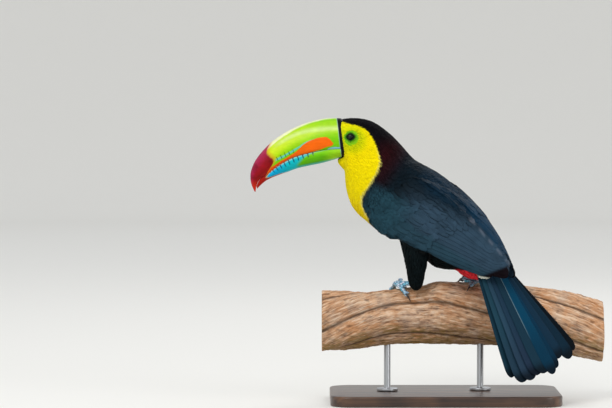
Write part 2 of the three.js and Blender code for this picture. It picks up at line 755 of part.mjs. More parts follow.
const bored = STAND.rods.reduce((made, { x }) => made.subtract(rodSolid(x, GAP)), perchSolid());
addNode("perch", bored, COLOUR.bark, 0.8);
addNode("stand_base", baseSolid(), COLOUR.walnut, 0.5);
for (const { name, x } of STAND.rods) addNode(name, rodSolid(x), COLOUR.steel, 0.35, 1);

group.position.x = -STAND.centreX;
export default group;
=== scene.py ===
# %% [markdown]
# # A keel-billed toucan on a liana
# A museum shows a bird like this as a still model: feathers over a body form, a horn bill, glass
# eyes, scaly feet gripping a cut length of liana, and a plain stand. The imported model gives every
# solid at its real size and place. This script keeps those places and makes the fine surfaces.

# %% Load the frame
import math

import bpy
import numpy as np
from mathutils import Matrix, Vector, noise
from mathutils.bvhtree import BVHTree
from mathutils.kdtree import KDTree


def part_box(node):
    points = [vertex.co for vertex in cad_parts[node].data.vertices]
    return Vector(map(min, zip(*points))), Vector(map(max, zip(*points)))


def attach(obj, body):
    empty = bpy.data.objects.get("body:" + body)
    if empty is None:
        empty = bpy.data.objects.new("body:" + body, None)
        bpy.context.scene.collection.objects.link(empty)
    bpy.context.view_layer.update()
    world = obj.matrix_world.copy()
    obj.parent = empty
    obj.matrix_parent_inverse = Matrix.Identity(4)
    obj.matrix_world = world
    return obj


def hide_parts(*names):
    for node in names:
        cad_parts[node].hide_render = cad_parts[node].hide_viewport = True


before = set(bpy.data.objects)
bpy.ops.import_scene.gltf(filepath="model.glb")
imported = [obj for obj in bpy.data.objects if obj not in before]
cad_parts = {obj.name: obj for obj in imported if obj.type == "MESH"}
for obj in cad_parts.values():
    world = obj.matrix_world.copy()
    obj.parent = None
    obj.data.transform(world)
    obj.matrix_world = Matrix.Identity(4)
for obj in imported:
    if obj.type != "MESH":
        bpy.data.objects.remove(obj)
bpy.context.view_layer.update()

MM = 0.001
random = np.random.default_rng(7)

# %% [markdown]
# ## Small helpers
# Blender keeps a mesh's points in a list, and numpy can take them all at once and put them back.
# That is the quickest way to shape a form by a rule, such as a bill that follows its own outline.
# A modifier is added, set and applied in one go, so that every piece ends as a plain mesh.

# %% Mesh helpers
def deselect():
    bpy.ops.object.select_all(action="DESELECT")


def points_of(piece):
    flat = np.empty(len(piece.data.vertices) * 3, np.float32)
    piece.data.vertices.foreach_get("co", flat)
    return flat.reshape(-1, 3).astype(float)


def normals_of(piece):
    flat = np.empty(len(piece.data.vertices) * 3, np.float32)
    piece.data.vertices.foreach_get("normal", flat)
    return flat.reshape(-1, 3).astype(float)


def place_points(piece, points):
    piece.data.vertices.foreach_set("co", np.asarray(points, np.float32).ravel())
    piece.data.update()


def make_active(piece):
    deselect()
    piece.select_set(True)
    bpy.context.view_layer.objects.active = piece


def in_edit_mode(piece, *steps):
    """Run edit-mode steps on everything in a piece."""
    make_active(piece)
    bpy.ops.object.mode_set(mode="EDIT")
    bpy.ops.mesh.select_all(action="SELECT")
    for step in steps:
        step()
    bpy.ops.object.mode_set(mode="OBJECT")


def modify(piece, kind, **settings):
    modifier = piece.modifiers.new(kind, kind)
    for name, value in settings.items():
        setattr(modifier, name, value)
    make_active(piece)
    bpy.ops.object.modifier_apply(modifier=modifier.name)


def smooth_by_angle(piece):
    """Shade the rounded parts smooth, and keep sharp corners sharp."""
    piece.data.shade_flat()
    make_active(piece)
    bpy.ops.object.shade_smooth_by_angle(angle=math.radians(30))


def duplicate(piece):
    twin = piece.copy()
    twin.data = piece.data.copy()
    bpy.context.scene.collection.objects.link(twin)
    return twin


def joined(pieces, name):
    deselect()
    for piece in pieces:
        piece.select_set(True)
    bpy.context.view_layer.objects.active = pieces[0]
    bpy.ops.object.join()
    pieces[0].name = name
    return pieces[0]


def copy_of_node(node):
    """A merged copy of a CAD node's mesh."""
    piece = bpy.data.objects.new(f"copy_{node}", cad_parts[node].data.copy())
    bpy.context.scene.collection.objects.link(piece)
    piece.data.materials.clear()
    in_edit_mode(piece, lambda: bpy.ops.mesh.remove_doubles(threshold=1e-5))
    return piece


def store(piece, name, values):
    """Keep a number or a vector for each point of a piece, for its material to read."""
    values = np.asarray(values, np.float32)
    kind, key = ("FLOAT", "value") if values.ndim == 1 else ("FLOAT_VECTOR", "vector")
    layer = piece.data.attributes.new(name, kind, "POINT")
    layer.data.foreach_set(key, values.ravel())


def finish(piece, material, slot, *nodes):
    """Give a piece its material, ride it on the body and hide the CAD nodes it stands for."""
    piece.data.materials.clear()
    piece.data.materials.append(material)
    piece.data.shade_smooth()
    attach(piece, "root")
    if nodes:
        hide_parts(*nodes)
    print(f"{piece.name}: {sum(len(face.vertices) - 2 for face in piece.data.polygons)} triangles")


# %% Smooth lines through a few measured points
def smooth_line(table, station):
    """Points on a Catmull-Rom line through a table's rows, at fractional row numbers."""
    rows = np.array(table, float)
    rows = np.vstack([2 * rows[0] - rows[1], rows, 2 * rows[-1] - rows[-2]])
    station = np.clip(np.asarray(station, float), 0, len(table) - 1)
    i = np.clip(np.floor(station).astype(int), 0, len(table) - 2)
    share = (station - i)[..., None]
    a, b, c, d = (rows[i + k] for k in range(4))
    bend = 2 * a - 5 * b + 4 * c - d + share * (3 * (b - c) + d - a)
    return b + 0.5 * share * (c - a + share * bend)


def smooth_step(low, high, value):
    share = np.clip((np.asarray(value, float) - low) / (high - low), 0, 1)
    return share * share * (3 - 2 * share)


def unit(vectors):
    return vectors / np.maximum(np.linalg.norm(vectors, axis=-1, keepdims=True), 1e-12)


# %% Colours, and one function that adds a shader node
def linear(hex_colour, alpha=1.0):
    """An sRGB hex colour as linear RGBA."""
    parts = [int(hex_colour[i : i + 2], 16) / 255 for i in (1, 3, 5)]
    low = [part / 12.92 for part in parts]
    high = [((part + 0.055) / 1.055) ** 2.4 for part in parts]
    return tuple(h if part > 0.04045 else l for part, l, h in zip(parts, low, high)) + (alpha,)


def add(tree, kind, inputs=None, curve=None, ramp=None, **settings):
    """Add one node. An input is a value, or another node's output to link from."""
    made = tree.nodes.new("ShaderNode" + kind)
    for name, value in settings.items():
        setattr(made, name, value)
    for key, value in (inputs or {}).items():
        if isinstance(value, bpy.types.NodeSocket):
            tree.links.new(value, made.inputs[key])
        else:
            made.inputs[key].default_value = value
    if curve:
        line = made.mapping.curves[0]
        line.points[0].location, line.points[1].location = curve[0], curve[-1]
        for point in curve[1:-1]:
            line.points.new(*point)
        made.mapping.update()
    if ramp:
        stops = made.color_ramp.elements
        while len(stops) < len(ramp):
            stops.new(1.0)
        for stop, (position, colour) in zip(stops, ramp):
            stop.position = position
            stop.color = linear(colour) if isinstance(colour, str) else (colour, colour, colour, 1)
    return made


def new_material(name, **surface):
    """A material with a Principled BSDF, and its node tree and shader."""
    material = bpy.data.materials.new(name)
    material.use_nodes = True
    tree = material.node_tree
    shader = tree.nodes["Principled BSDF"]
    for key, value in surface.items():
        shader.inputs[key.replace("_", " ")].default_value = value
    return material, tree, shader


# %% [markdown]
# ## Camera, lights, floor and backdrop
# The bird is seen from the side by a long lens, a little above the floor. The floor runs out to a
# low round wall, so that the same pale background stands behind it from every side. One large soft
# lamp above and in front gives the broad highlights that show the bill's polish.

# %% Camera
AIM = Vector((-169.3, 0.0, 241.6)) * MM
DISTANCE = 4.15
ELEVATION = math.radians(2)

bpy.ops.object.camera_add(rotation=(math.pi / 2 - ELEVATION, 0, 0))
camera = bpy.context.active_object
camera.location = AIM + DISTANCE * Vector((0, -math.cos(ELEVATION), math.sin(ELEVATION)))
camera.data.lens = 200
camera.data.sensor_width = 36
camera.data.clip_end = 50
bpy.context.scene.camera = camera
bpy.context.scene.view_settings.view_transform = "Standard"
print("camera:", [round(value, 3) for value in camera.location], "lens", camera.data.lens)

# %% Lights
def soft_lamp(name, place, size, power):
    bpy.ops.object.light_add(type="AREA", location=place)
    lamp = bpy.context.active_object
    lamp.name = name
    lamp.data.shape = "DISK"
    lamp.data.size = size
    lamp.data.energy = power
    lamp.rotation_euler = (AIM - lamp.location).to_track_quat("-Z", "Y").to_euler()


soft_lamp("key_lamp", Vector((-1.0, -1.7, 1.9)), 1.2, 27)
soft_lamp("fill_lamp", Vector((1.8, -1.4, 0.9)), 1.4, 12)
soft_lamp("back_lamp", Vector((0.9, 1.6, 1.8)), 1.0, 11)

world = bpy.data.worlds.new("soft_room")
bpy.context.scene.world = world
world.use_nodes = True
sky = world.node_tree.nodes["Background"]
sky.inputs["Color"].default_value = linear("#eef2f6")
sky.inputs["Strength"].default_value = 0.8

# %% Floor and backdrop
FLOOR_RADIUS = 5.4
WALL_HEIGHT, WALL_STEPS = 1.3, 8

deselect()
bpy.ops.mesh.primitive_circle_add(vertices=96, radius=FLOOR_RADIUS, fill_type="NGON")
backdrop = bpy.context.active_object
backdrop.name = "floor_and_backdrop"
bpy.ops.object.mode_set(mode="EDIT")
bpy.ops.mesh.select_mode(type="EDGE")
bpy.ops.mesh.region_to_loop()
for step in range(WALL_STEPS):
    turn = math.radians(90 * (step + 1) / WALL_STEPS)
    rise = WALL_HEIGHT * math.sin(turn) / 5
    bpy.ops.mesh.extrude_region_move(TRANSFORM_OT_translate={"value": (0, 0, rise)})
    bpy.ops.transform.resize(value=(1 + 0.02 * math.cos(turn),) * 2 + (1,))
bpy.ops.object.mode_set(mode="OBJECT")

# The camera and reflections see the paper a little brighter than the room lights it.
PAPER_GLOW = 0.25

paper, tree, shader = new_material("matt_background_paper", Roughness=0.95)
shader.inputs["Base Color"].default_value = linear("#d2d0cb")
shader.inputs["Specular IOR Level"].default_value = 0.1
shader.inputs["Emission Color"].default_value = linear("#f4f3f0")
rays = add(tree, "LightPath")
seen = add(tree, "Math", {0: rays.outputs["Is Camera Ray"], 1: rays.outputs["Is Glossy Ray"]})
seen = add(tree, "Math", {0: seen.outputs[0], 1: rays.outputs["Is Transmission Ray"]}, use_clamp=True)
glow = add(tree, "Math", {0: seen.outputs[0], 1: PAPER_GLOW}, operation="MULTIPLY")
tree.links.new(glow.outputs[0], shader.inputs["Emission Strength"])
backdrop.data.materials.append(paper)
backdrop.data.shade_smooth()
print("floor and backdrop:", len(backdrop.data.polygons), "faces")

# %% [markdown]
# ## The bird's midplane
# The bird stands turned away by 24 degrees, with its head turned back into pure profile. Its
# midplane is therefore bent. Everything on the bird is laid out on the left half, and mirrored
# across the midplane at that place for the right half.

# %% Folding a point over to the left half
TRUNK_TURN = 24.0
# Along the bird: X, where the midplane lies in Y there, in mm, and its turn in degrees.
MIDLINE = [
    (-230.0, 26.0, 0.0),
    (-111.0, 26.0, 0.0),
    (-95.5, 24.7, 6.0),
    (-87.0, 23.0, 11.5),
    (-77.3, 20.1, 16.5),
    (-65.0, 15.4, 21.0),
    (-45.8, 7.0, TRUNK_TURN),
    (180.0, -93.5, TRUNK_TURN),
]


def midplane_at(points):
    """For points in mm: the side vector, how far to the right they lie, and the turn."""
    table = np.array(MIDLINE)
    flat_x = points[:, 0]
    for _ in range(3):
        y = np.interp(flat_x, table[:, 0], table[:, 1])
        turn = np.radians(np.interp(flat_x, table[:, 0], table[:, 2]))
        side = np.stack([np.sin(turn), np.cos(turn), 0 * turn], axis=1)
        right = (points[:, 0] - flat_x) * side[:, 0] + (points[:, 1] - y) * side[:, 1]
        flat_x = points[:, 0] - right * side[:, 0]
    return side, right, turn


def folded_left(points):
    """Points in mm, with those of the right half mirrored over to the left."""
    side, right, _ = midplane_at(points)
    return points - 2 * np.maximum(right, 0)[:, None] * side


# %% [markdown]
# ## The body form
# A taxidermist's body form is one smooth shape. The solids of the head, neck, trunk, wings and
# thighs are copied, swollen a little so that the thin cuts between them close, and remeshed into
# one. This guide is the surface that the feathers' tips reach. The skin will lie inside it.

# %% The guide surface
FLESH = ["head", "neck", "trunk", "wing_left", "wing_right", "thigh_left", "thigh_right"]
COVERTS = ["undertail_coverts", "uppertail_coverts"]
FEET = ["foot_left", "foot_right"]
CUT_WIDTH, GUIDE_VOXEL = 0.35 * MM, 1.5 * MM


def outer_shell(piece):
    """Keep only the largest loose part, without the closed hollows inside it."""
    in_edit_mode(piece, lambda: bpy.ops.mesh.separate(type="LOOSE"))
    parts = sorted(bpy.context.selected_objects, key=lambda part: len(part.data.vertices))
    for part in parts[:-1]:
        bpy.data.objects.remove(part)
    return parts[-1]


swollen = [copy_of_node(node) for node in FLESH + COVERTS]
for piece in swollen:
    place_points(piece, points_of(piece) + normals_of(piece) * CUT_WIDTH)
guide = joined(swollen, "guide")
modify(guide, "REMESH", mode="VOXEL", voxel_size=GUIDE_VOXEL)
modify(guide, "SMOOTH", factor=0.5, iterations=8)
guide = outer_shell(guide)
guide.name = "guide"


def search_tree(piece):
    piece.data.calc_loop_triangles()
    corners = [tuple(triangle.vertices) for triangle in piece.data.loop_triangles]
    return BVHTree.FromPolygons([vertex.co for vertex in piece.data.vertices], corners)


guide_tree = search_tree(guide)
node_trees = {node: search_tree(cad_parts[node]) for node in FLESH + COVERTS + FEET}
bill_trees = [search_tree(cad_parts[node]) for node in ("bill_upper", "bill_lower")]
print("guide:", len(guide.data.vertices), "points")


def on_guide(points):
    """The nearest places on the guide and its normals there, in metres."""
    found = [guide_tree.find_nearest(point)[:2] for point in points.tolist()]
    return np.array([place for place, _ in found]), np.array([normal for _, normal in found])


def distance_to(tree, points):
    return np.array([tree.find_nearest(point)[3] for point in points.tolist()])


def gap_to(trees, points):
    """Distance to the nearest of some solids, in mm, for points in metres."""
    return np.min([distance_to(tree, points) for tree in trees], axis=0) / MM


def nearest_node(points, names):
    """The name of the CAD solid that each point lies nearest to."""
    nearest = np.argmin([distance_to(node_trees[name], points) for name in names], axis=0)
    return np.array(names)[nearest]


# %% [markdown]
# ## Where the eyes are, and the plumage's colours
# The species has a yellow face and bib, a black crown, a maroon gloss on the nape, a black body
# with a blue gloss on the wings, a red vent and a white rump. The slate-blue of the wings, back
# and tail is partly that gloss and partly a painted sheen of the soft light. One function gives
# the colour of any place, so that the skin below and each feather above it carry the same markings.

# %% Eye places
EYES = {}
for side in ("left", "right"):
    low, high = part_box(f"eye_{side}")
    EYES[side] = (np.array((low + high) / 2), (high.x - low.x) / 2)
EYE_XZ = EYES["left"][0][[0, 2]] / MM
print("eye centre and radius, in mm:", EYE_XZ.round(1), round(EYES["left"][1] / MM, 2))

# %% Plumage colours
PLUMAGE = {
    "yellow": "#fde600",
    "warm_yellow": "#f9d800",
    "green": "#c8dc05",
    "bare_green": "#84cc10",
    "black": "#0a080d",
    "maroon": "#2c0a0e",
    "mantle": "#08151d",
    "slate": "#2f4455",
    "shoulder": "#213f4b",
    "blue": "#062e46",
    "thigh": "#0a1214",
    "wear_and_shade": "#6d7684",
    "wine": "#0f070c",
    "fringe": "#efecac",
    "scarlet": "#ff3c46",
    "white": "#f0f2e4",
}
PAINT = {name: np.array(linear(colour)) for name, colour in PLUMAGE.items()}

# The bib's rear edge in side view: X at each height, in mm.
BIB_EDGE = [
    (-90, 220.0),
    (-96, 229.0),
    (-101, 241.0),
    (-100.5, 251.0),
    (-91, 265.5),
    (-82.5, 279.5),
    (-79.6, 287.0),
    (-78.6, 293.0),
    (-79.2, 299.0),
    (-81.5, 306.5),
    (-86.5, 319.0),
    (-93.5, 330.5),
    (-105, 336.8),
    (-121, 340.5),
    (-132, 345.0),
]
# Its lower edge is rounded: lowest at the midline, and higher by the rise at the half width.
BIB_BOTTOM, BIB_RISE, BIB_HALF_WIDTH = 214.0, 6.0, 19.0

# The wing's own axes in side view start at the shoulder and run along the back.
SHOULDER_X, SHOULDER_Z = -96, 246
BACK_X, BACK_Z = 0.878, -0.478
# The blue strip's lower border: how high it lies above the wing's middle, at a place along the
# back, and its slope. The worn edges of the feathers below it lie this far apart.
STRIP_ABOVE, STRIP_BACK, STRIP_SLOPE = 43.0, 117.0, -0.373
WORN_EVERY = 15.0


def blend(base, colour, amount):
    """Lay one of the plumage's colours over others, by an amount for each point."""
    return base + (PAINT[colour] - base) * np.asarray(amount)[:, None]


def tinted(base, colour, amount):
    """Lay an sRGB hex colour over others."""
    return base + (np.array(linear(colour)) - base) * amount


def wing_axes(flat):
    """How far along the back and above the wing's middle left-half points in mm lie."""
    x, z = flat[:, 0] - SHOULDER_X, flat[:, 2] - SHOULDER_Z
    return BACK_X * x + BACK_Z * z, -BACK_Z * x + BACK_X * z


def bib_depth(flat):
    """How far inside the bib a left-half point lies, in mm. It is negative outside."""
    edge = np.array(BIB_EDGE)
    inside = np.interp(flat[:, 2], edge[:, 1], edge[:, 0]) - flat[:, 0]
    above_brow = np.interp(flat[:, 0], edge[::-1, 0][:5], edge[::-1, 1][:5]) - flat[:, 2]
    inside = np.where(flat[:, 0] < -91, np.minimum(inside, above_brow), inside)
    aside = midplane_at(flat)[1] / BIB_HALF_WIDTH
    return np.minimum(inside, flat[:, 2] - BIB_BOTTOM - BIB_RISE * aside**2)


def waves(points, size):
    """A cheap smooth random pattern from -1 to 1, with features of about this size in mm."""
    return np.array([noise.noise(Vector(point) / size) for point in points]) * 1.6


def near_node(node, points):
    """1 within 0.4 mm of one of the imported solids, falling to 0 at 1.6 mm from it."""
    return smooth_step(1.6, 0.4, gap_to([node_trees[node]], points))


def plumage_colour(points, jitter=0.0):
    """The plumage's colour at points in metres. 'jitter' moves the bib's border, in mm."""
    mm = points / MM
    flat = folded_left(mm)
    x, z = flat[:, 0], flat[:, 2]
    count = len(points)
    colour = np.tile(PAINT["black"], (count, 1))
    back, above = wing_axes(flat)
    maroon = smooth_step(-95, -70, x) * smooth_step(24, -2, back - 0.15 * above)
    colour = blend(colour, "maroon", 0.9 * maroon * smooth_step(330, 300, z))
    mantle = smooth_step(-10, 24, back - 0.1 * (above - 30))
    colour = blend(colour, "mantle", mantle)
    # The shoulder and slate on the wing are partly the feathers' blue gloss and partly a painted sky sheen.
    wing = smooth_step(30, 14, above) * smooth_step(-12, 8, back)
    colour = blend(colour, "shoulder", wing)
    slate = smooth_step(25, 75, back) * smooth_step(50, 24, above)
    colour = blend(colour, "slate", slate)
    # The lower back is painted bluer than the mantle in front of it: a painted sheen along the back's top
    # edge.
    colour = blend(colour, "blue", 0.45 * smooth_step(36, 56, above) * smooth_step(30, 70, back))
    # On the wing: a teal lower edge, a teal-blue strip at the back, pale worn edges along the
    # strip's lower border, and a wine-black tip.
    on_wing = np.max([near_node(f"wing_{side}", points) for side in EYES], axis=0)
    lower_edge = -3 - 0.06 * (back - 40)
    colour = blend(colour, "shoulder", 0.6 * on_wing * smooth_step(9, 1, above - lower_edge))
    from_strip = above - STRIP_ABOVE - STRIP_SLOPE * (back - STRIP_BACK)
    strip = smooth_step(95, 120, back) * smooth_step(0, 6, from_strip)
    colour = blend(colour, "blue", 0.95 * strip)
    wear_and_shade = smooth_step(-0.8, 0.3, np.sin(back * 2 * math.pi / WORN_EVERY + 0.8 * waves(mm, 14.0)))
    wear_and_shade = wear_and_shade * np.exp(-(((from_strip + 0.5) / 1.7) ** 2)) * smooth_step(96, 106, back)
    colour = blend(colour, "wear_and_shade", 0.42 * on_wing * wear_and_shade)
    tip_line = z - 157.5 - 0.39 * (x - 40)
    colour = blend(colour, "wine", on_wing * smooth_step(38, 50, x) * smooth_step(1, -4, tip_line))
    belly = smooth_step(-2, -12, above - 0.02 * back) * smooth_step(36, 54, back)
    colour = blend(colour, "thigh", belly * (1 - on_wing))
    colour[:, :3] *= (1 + 0.15 * waves(mm, 9.0))[:, None]
    # The bib, with its pale fringe at the rear and green round the bare skin of the eye.
    depth = bib_depth(flat) + jitter
    bib = np.tile(PAINT["yellow"], (count, 1))
    bib = blend(bib, "warm_yellow", 0.7 * smooth_step(255, 225, z))
    eye_away = np.hypot(x - EYE_XZ[0] - 1.5, z - EYE_XZ[1] + 2)
    bib = blend(bib, "green", 0.75 * smooth_step(24, 9, eye_away))
    bib = blend(bib, "green", 0.35 * smooth_step(-118, -128, x) * smooth_step(295, 305, z))
    bib = blend(bib, "fringe", 0.5 * smooth_step(2.4, 0.4, depth) * smooth_step(315, 290, z))
    # Below the bib the species has a narrow red band, which fades out before the sides.
    aside = np.abs(midplane_at(flat)[1])
    band = smooth_step(-4.5, -3.5, depth) * smooth_step(14, 7, aside) * smooth_step(230, 224, z)
    colour = blend(colour, "scarlet", 0.85 * band)
    inside = smooth_step(-0.7, 0.7, depth) * (1 - on_wing)
    colour = colour + (bib - colour) * inside[:, None]
    # The feathers that meet the bill are black, except over its ridge.
    at_bill = smooth_step(2.4, 1.2, gap_to(bill_trees, points))
    colour = blend(colour, "black", at_bill * smooth_step(322, 314, z))
    colour = blend(colour, "scarlet", near_node("undertail_coverts", points))
    return blend(colour, "white", near_node("uppertail_coverts", points))


# %% [markdown]
# ## The lie of the plumage
# Feathers grow in fixed tracts and all point away from the bill, but they turn as they go: back
# over the crown, down the throat, along the back and wing, straight down the thigh. A few measured
# directions in side view are blended by distance, then laid into the surface. Round the bare eye
# ring the feathers part, as they do in life.

# %% Directions in side view: X and Z in mm, and which way the feathers point there
LIE = [
    (-145, 343, 1.0, 0.05), (-127, 345, 1.0, -0.05), (-108, 342, 1.0, -0.25),
    (-91, 333, 0.95, -0.6), (-77, 320, 0.75, -0.7), (-66, 308, 0.7, -0.75),
    (-50, 295, 0.8, -0.6), (-22, 278, 0.82, -0.58), (4, 258, 0.78, -0.65),
    (28, 232, 0.62, -0.8), (42, 205, 0.5, -0.9), (48, 180, 0.4, -0.9),
    (-122, 325, 0.9, 0.1), (-114, 334, 1.0, 0.0), (-103, 322, 1.0, -0.3),
    (-114, 312, 0.85, -0.5), (-100, 300, 0.72, -0.75), (-125, 300, 0.55, -0.85),
    (-121, 285, 0.15, -1.0), (-118, 262, 0.18, -1.0), (-106, 240, 0.45, -0.9),
    (-90, 222, 0.75, -0.65), (-88, 285, 0.5, -0.9), (-70, 290, 0.72, -0.75),
    (-80, 255, 0.6, -0.85), (-68, 210, 0.88, -0.45), (-44, 200, 0.92, -0.4),
    (-8, 183, 0.92, -0.35), (28, 168, 0.95, -0.3), (50, 160, 0.8, -0.6),
    (-60, 240, 0.87, -0.48), (-20, 225, 0.88, -0.5), (30, 200, 0.82, -0.58),
]
# Each measured direction reaches about this far, in mm. The eye parts the feathers within the
# parting's reach, this strongly.
LIE_SPREAD = 17.0
PARTING_REACH, PARTING_STRENGTH = 9.5, 1.6


def lie(points, normals):
    """Unit directions in the surface in which feathers point, for points in metres."""
    mm = points / MM
    flat = folded_left(mm)[:, [0, 2]]
    samples = np.array(LIE)
    gaps = ((flat[:, None, :] - samples[None, :, :2]) ** 2).sum(axis=2)
    weights = np.exp(-(gaps - gaps.min(axis=1, keepdims=True)) / (2 * LIE_SPREAD**2))
    ahead = unit((weights[:, :, None] * unit(samples[:, 2:])).sum(axis=1))
    on_thigh = gap_to([node_trees[f"thigh_{side}"] for side in EYES], points) < 0.6
    ahead[on_thigh] = (0.04, -1.0)
    away = flat - EYE_XZ
    near = np.exp(-(np.linalg.norm(away, axis=1) / PARTING_REACH) ** 2)[:, None]
    ahead = unit(ahead + PARTING_STRENGTH * near * unit(away))
    _, _, turn = midplane_at(mm)
    turn = np.where(on_thigh, 0, turn)
    along = np.stack([ahead[:, 0] * np.cos(turn), -ahead[:, 0] * np.sin(turn), ahead[:, 1]], axis=1)
    return unit(along - (along * normals).sum(axis=1)[:, None] * normals)


# %% [markdown]
# ## The skin
# The skin is the guide drawn inwards by the depth of the coat, so that feathers stand on it and
# their tips make the true outline. The depth shrinks where the body is thin and where the skin is
# bare, round the eyes. The scaly feet are part of it: one voxel remesh closes everything.

# %% Draw the guide in and join the feet
COAT_DEPTH = 1.9
FOOT_VOXEL, SKIN_VOXEL = 0.6 * MM, 1.18 * MM
# The bare patch reaches further behind and below the eye.
BARE_RADIUS = 8.6
BARE_SHIFT = np.array([0.6, 0.0, -1.3]) * MM


def eye_gap(points):
    """Distance to the middle of the nearer bare eye patch, in mm, for points in metres."""
    middles = [centre + BARE_SHIFT for centre, _ in EYES.values()]
    return np.min([np.linalg.norm(points - middle, axis=1) for middle in middles], axis=0) / MM


def thickness_below(points, normals):
    """How thick the guide is under each point, in mm."""
    reach = []
    for point, normal in zip(points.tolist(), normals.tolist()):
        inward = -Vector(normal)
        gap = guide_tree.ray_cast(Vector(point) + inward * 2e-4, inward)[3]
        reach.append(gap or 0.0)
    return np.array(reach) / MM


skin = duplicate(guide)
places, outward = points_of(skin), normals_of(skin)
depth = np.minimum(COAT_DEPTH, 0.4 * thickness_below(places, outward))
mm = places / MM
face = smooth_step(-70, -100, folded_left(mm)[:, 0]) * smooth_step(255, 290, mm[:, 2])
depth = depth * (1 - 0.35 * face) * smooth_step(BARE_RADIUS, BARE_RADIUS + 4, eye_gap(places))
depth = depth * (0.15 + 0.85 * smooth_step(1.0, 8.0, gap_to(bill_trees, places)))
place_points(skin, places - outward * depth[:, None] * MM)
modify(skin, "SMOOTH", factor=0.5, iterations=3)

feet = joined([copy_of_node(node) for node in FEET], "feet_copy")
modify(feet, "REMESH", mode="VOXEL", voxel_size=FOOT_VOXEL)
modify(feet, "SMOOTH", factor=0.5, iterations=4)
skin = joined([skin, feet], "skin")
modify(skin, "REMESH", mode="VOXEL", voxel_size=SKIN_VOXEL)
modify(skin, "SMOOTH", factor=0.4, iterations=2)
print("skin:", len(skin.data.polygons), "faces")

# %% Unwrap a coarse copy of the skin
# The bake needs each feather's place on a flat map of the skin. A coarse copy unwraps quickly,
# and any point finds its place on that map through the nearest face.
UNWRAP_ANGLE = math.radians(66)
coarse = duplicate(skin)
modify(coarse, "DECIMATE", ratio=0.06)
modify(coarse, "TRIANGULATE")
in_edit_mode(coarse, lambda: bpy.ops.uv.smart_project(angle_limit=UNWRAP_ANGLE, island_margin=0.004))
coarse_points = points_of(coarse)
coarse_corners = np.array([tuple(face.vertices) for face in coarse.data.polygons])
flat_uv = np.empty(len(coarse.data.loops) * 2, np.float32)
coarse.data.uv_layers.active.data.foreach_get("uv", flat_uv)
coarse_uv = flat_uv.reshape(-1, 3, 2)
coarse_tree = BVHTree.FromPolygons(coarse_points.tolist(), coarse_corners.tolist())


def places_on_map(points):
    """The unwrap's UV at the skin's nearest face to each point in metres."""
    found = [coarse_tree.find_nearest(point) for point in points.tolist()]
    near = np.array([hit[0] for hit in found])
    face = np.array([hit[2] for hit in found])
    a, b, c = (coarse_points[coarse_corners[face, k]] for k in range(3))
    full = np.cross(b - a, c - a)
    area = np.maximum((full**2).sum(axis=1), 1e-24)
    share_b = (np.cross(near - a, c - a) * full).sum(axis=1) / area
    share_c = (np.cross(b - a, near - a) * full).sum(axis=1) / area
    shares = np.stack([1 - share_b - share_c, share_b, share_c], axis=1)
    return (coarse_uv[face] * shares[:, :, None]).sum(axis=1)


in_edit_mode(skin, lambda: bpy.ops.uv.smart_project(angle_limit=UNWRAP_ANGLE, island_margin=0.001))
skin.data.uv_layers.active.name = "OFBake"
print("coarse unwrap:", len(coarse.data.polygons), "faces")

# %% Paint the skin with the plumage's colours
LEG_BLUE = "#58ceec"


def colour_points(piece, colours):
    attributes = piece.data.color_attributes
    layer = attributes.get("Plumage") or attributes.new("Plumage", "FLOAT_COLOR", "POINT")
    layer.data.foreach_set("color", np.asarray(colours, np.float32).ravel())


places = points_of(skin)
colours = plumage_colour(places)
colours = blend(colours, "bare_green", smooth_step(11.5, 9.5, eye_gap(places)))
foot_gap = gap_to([node_trees[node] for node in FEET], places)
on_foot = smooth_step(1.2, 0.7, foot_gap) * smooth_step(160, 156, places[:, 2] / MM)
colours = tinted(colours, LEG_BLUE, on_foot[:, None])
colour_points(skin, colours)
store(skin, "Scaly", on_foot)
print("skin points on the feet:", int(on_foot.sum()))

# %% One colour over another in a material
# The Mix node keeps its colour sockets at these numbers.
MIX_A, MIX_B, MIX_RESULT = 6, 7, 2


def field(tree, under, colour, *masks, strength=1.0):
    """Lay one colour over another where all the masks hold."""
    where = strength
    for mask in masks:
        where = add(tree, "Math", {0: mask, 1: where}, operation="MULTIPLY").outputs[0]
    over = colour if isinstance(colour, bpy.types.NodeSocket) else linear(colour)
    mixed = add(tree, "Mix", {0: where, MIX_A: under, MIX_B: over}, data_type="RGBA")
    return mixed.outputs[MIX_RESULT]


# %% Bare skin, fine-wrinkled: under the feathers it only shows as a dull ground between them
FOLD_WIDTH, PLATE_WIDTH = 1.2 * MM, 3 * MM
bare_skin, tree, shader = new_material("bird_skin", Roughness=0.62)
shader.inputs["Specular IOR Level"].default_value = 0.12
tint = add(tree, "Attribute", attribute_name="Plumage")
where = add(tree, "TexCoord")
fine = {"Vector": where.outputs["Object"], "Scale": 1 / FOLD_WIDTH}
folds = add(tree, "TexVoronoi", fine, feature="SMOOTH_F1")
# The skin is darker in the pits of its fine wrinkles: painted shade.
shade = add(tree, "MapRange", {"Value": folds.outputs["Distance"], "To Min": 0.72, "To Max": 1.12})
toned = add(tree, "VectorMath", {0: tint.outputs["Color"], "Scale": shade.outputs[0]}, operation="SCALE")
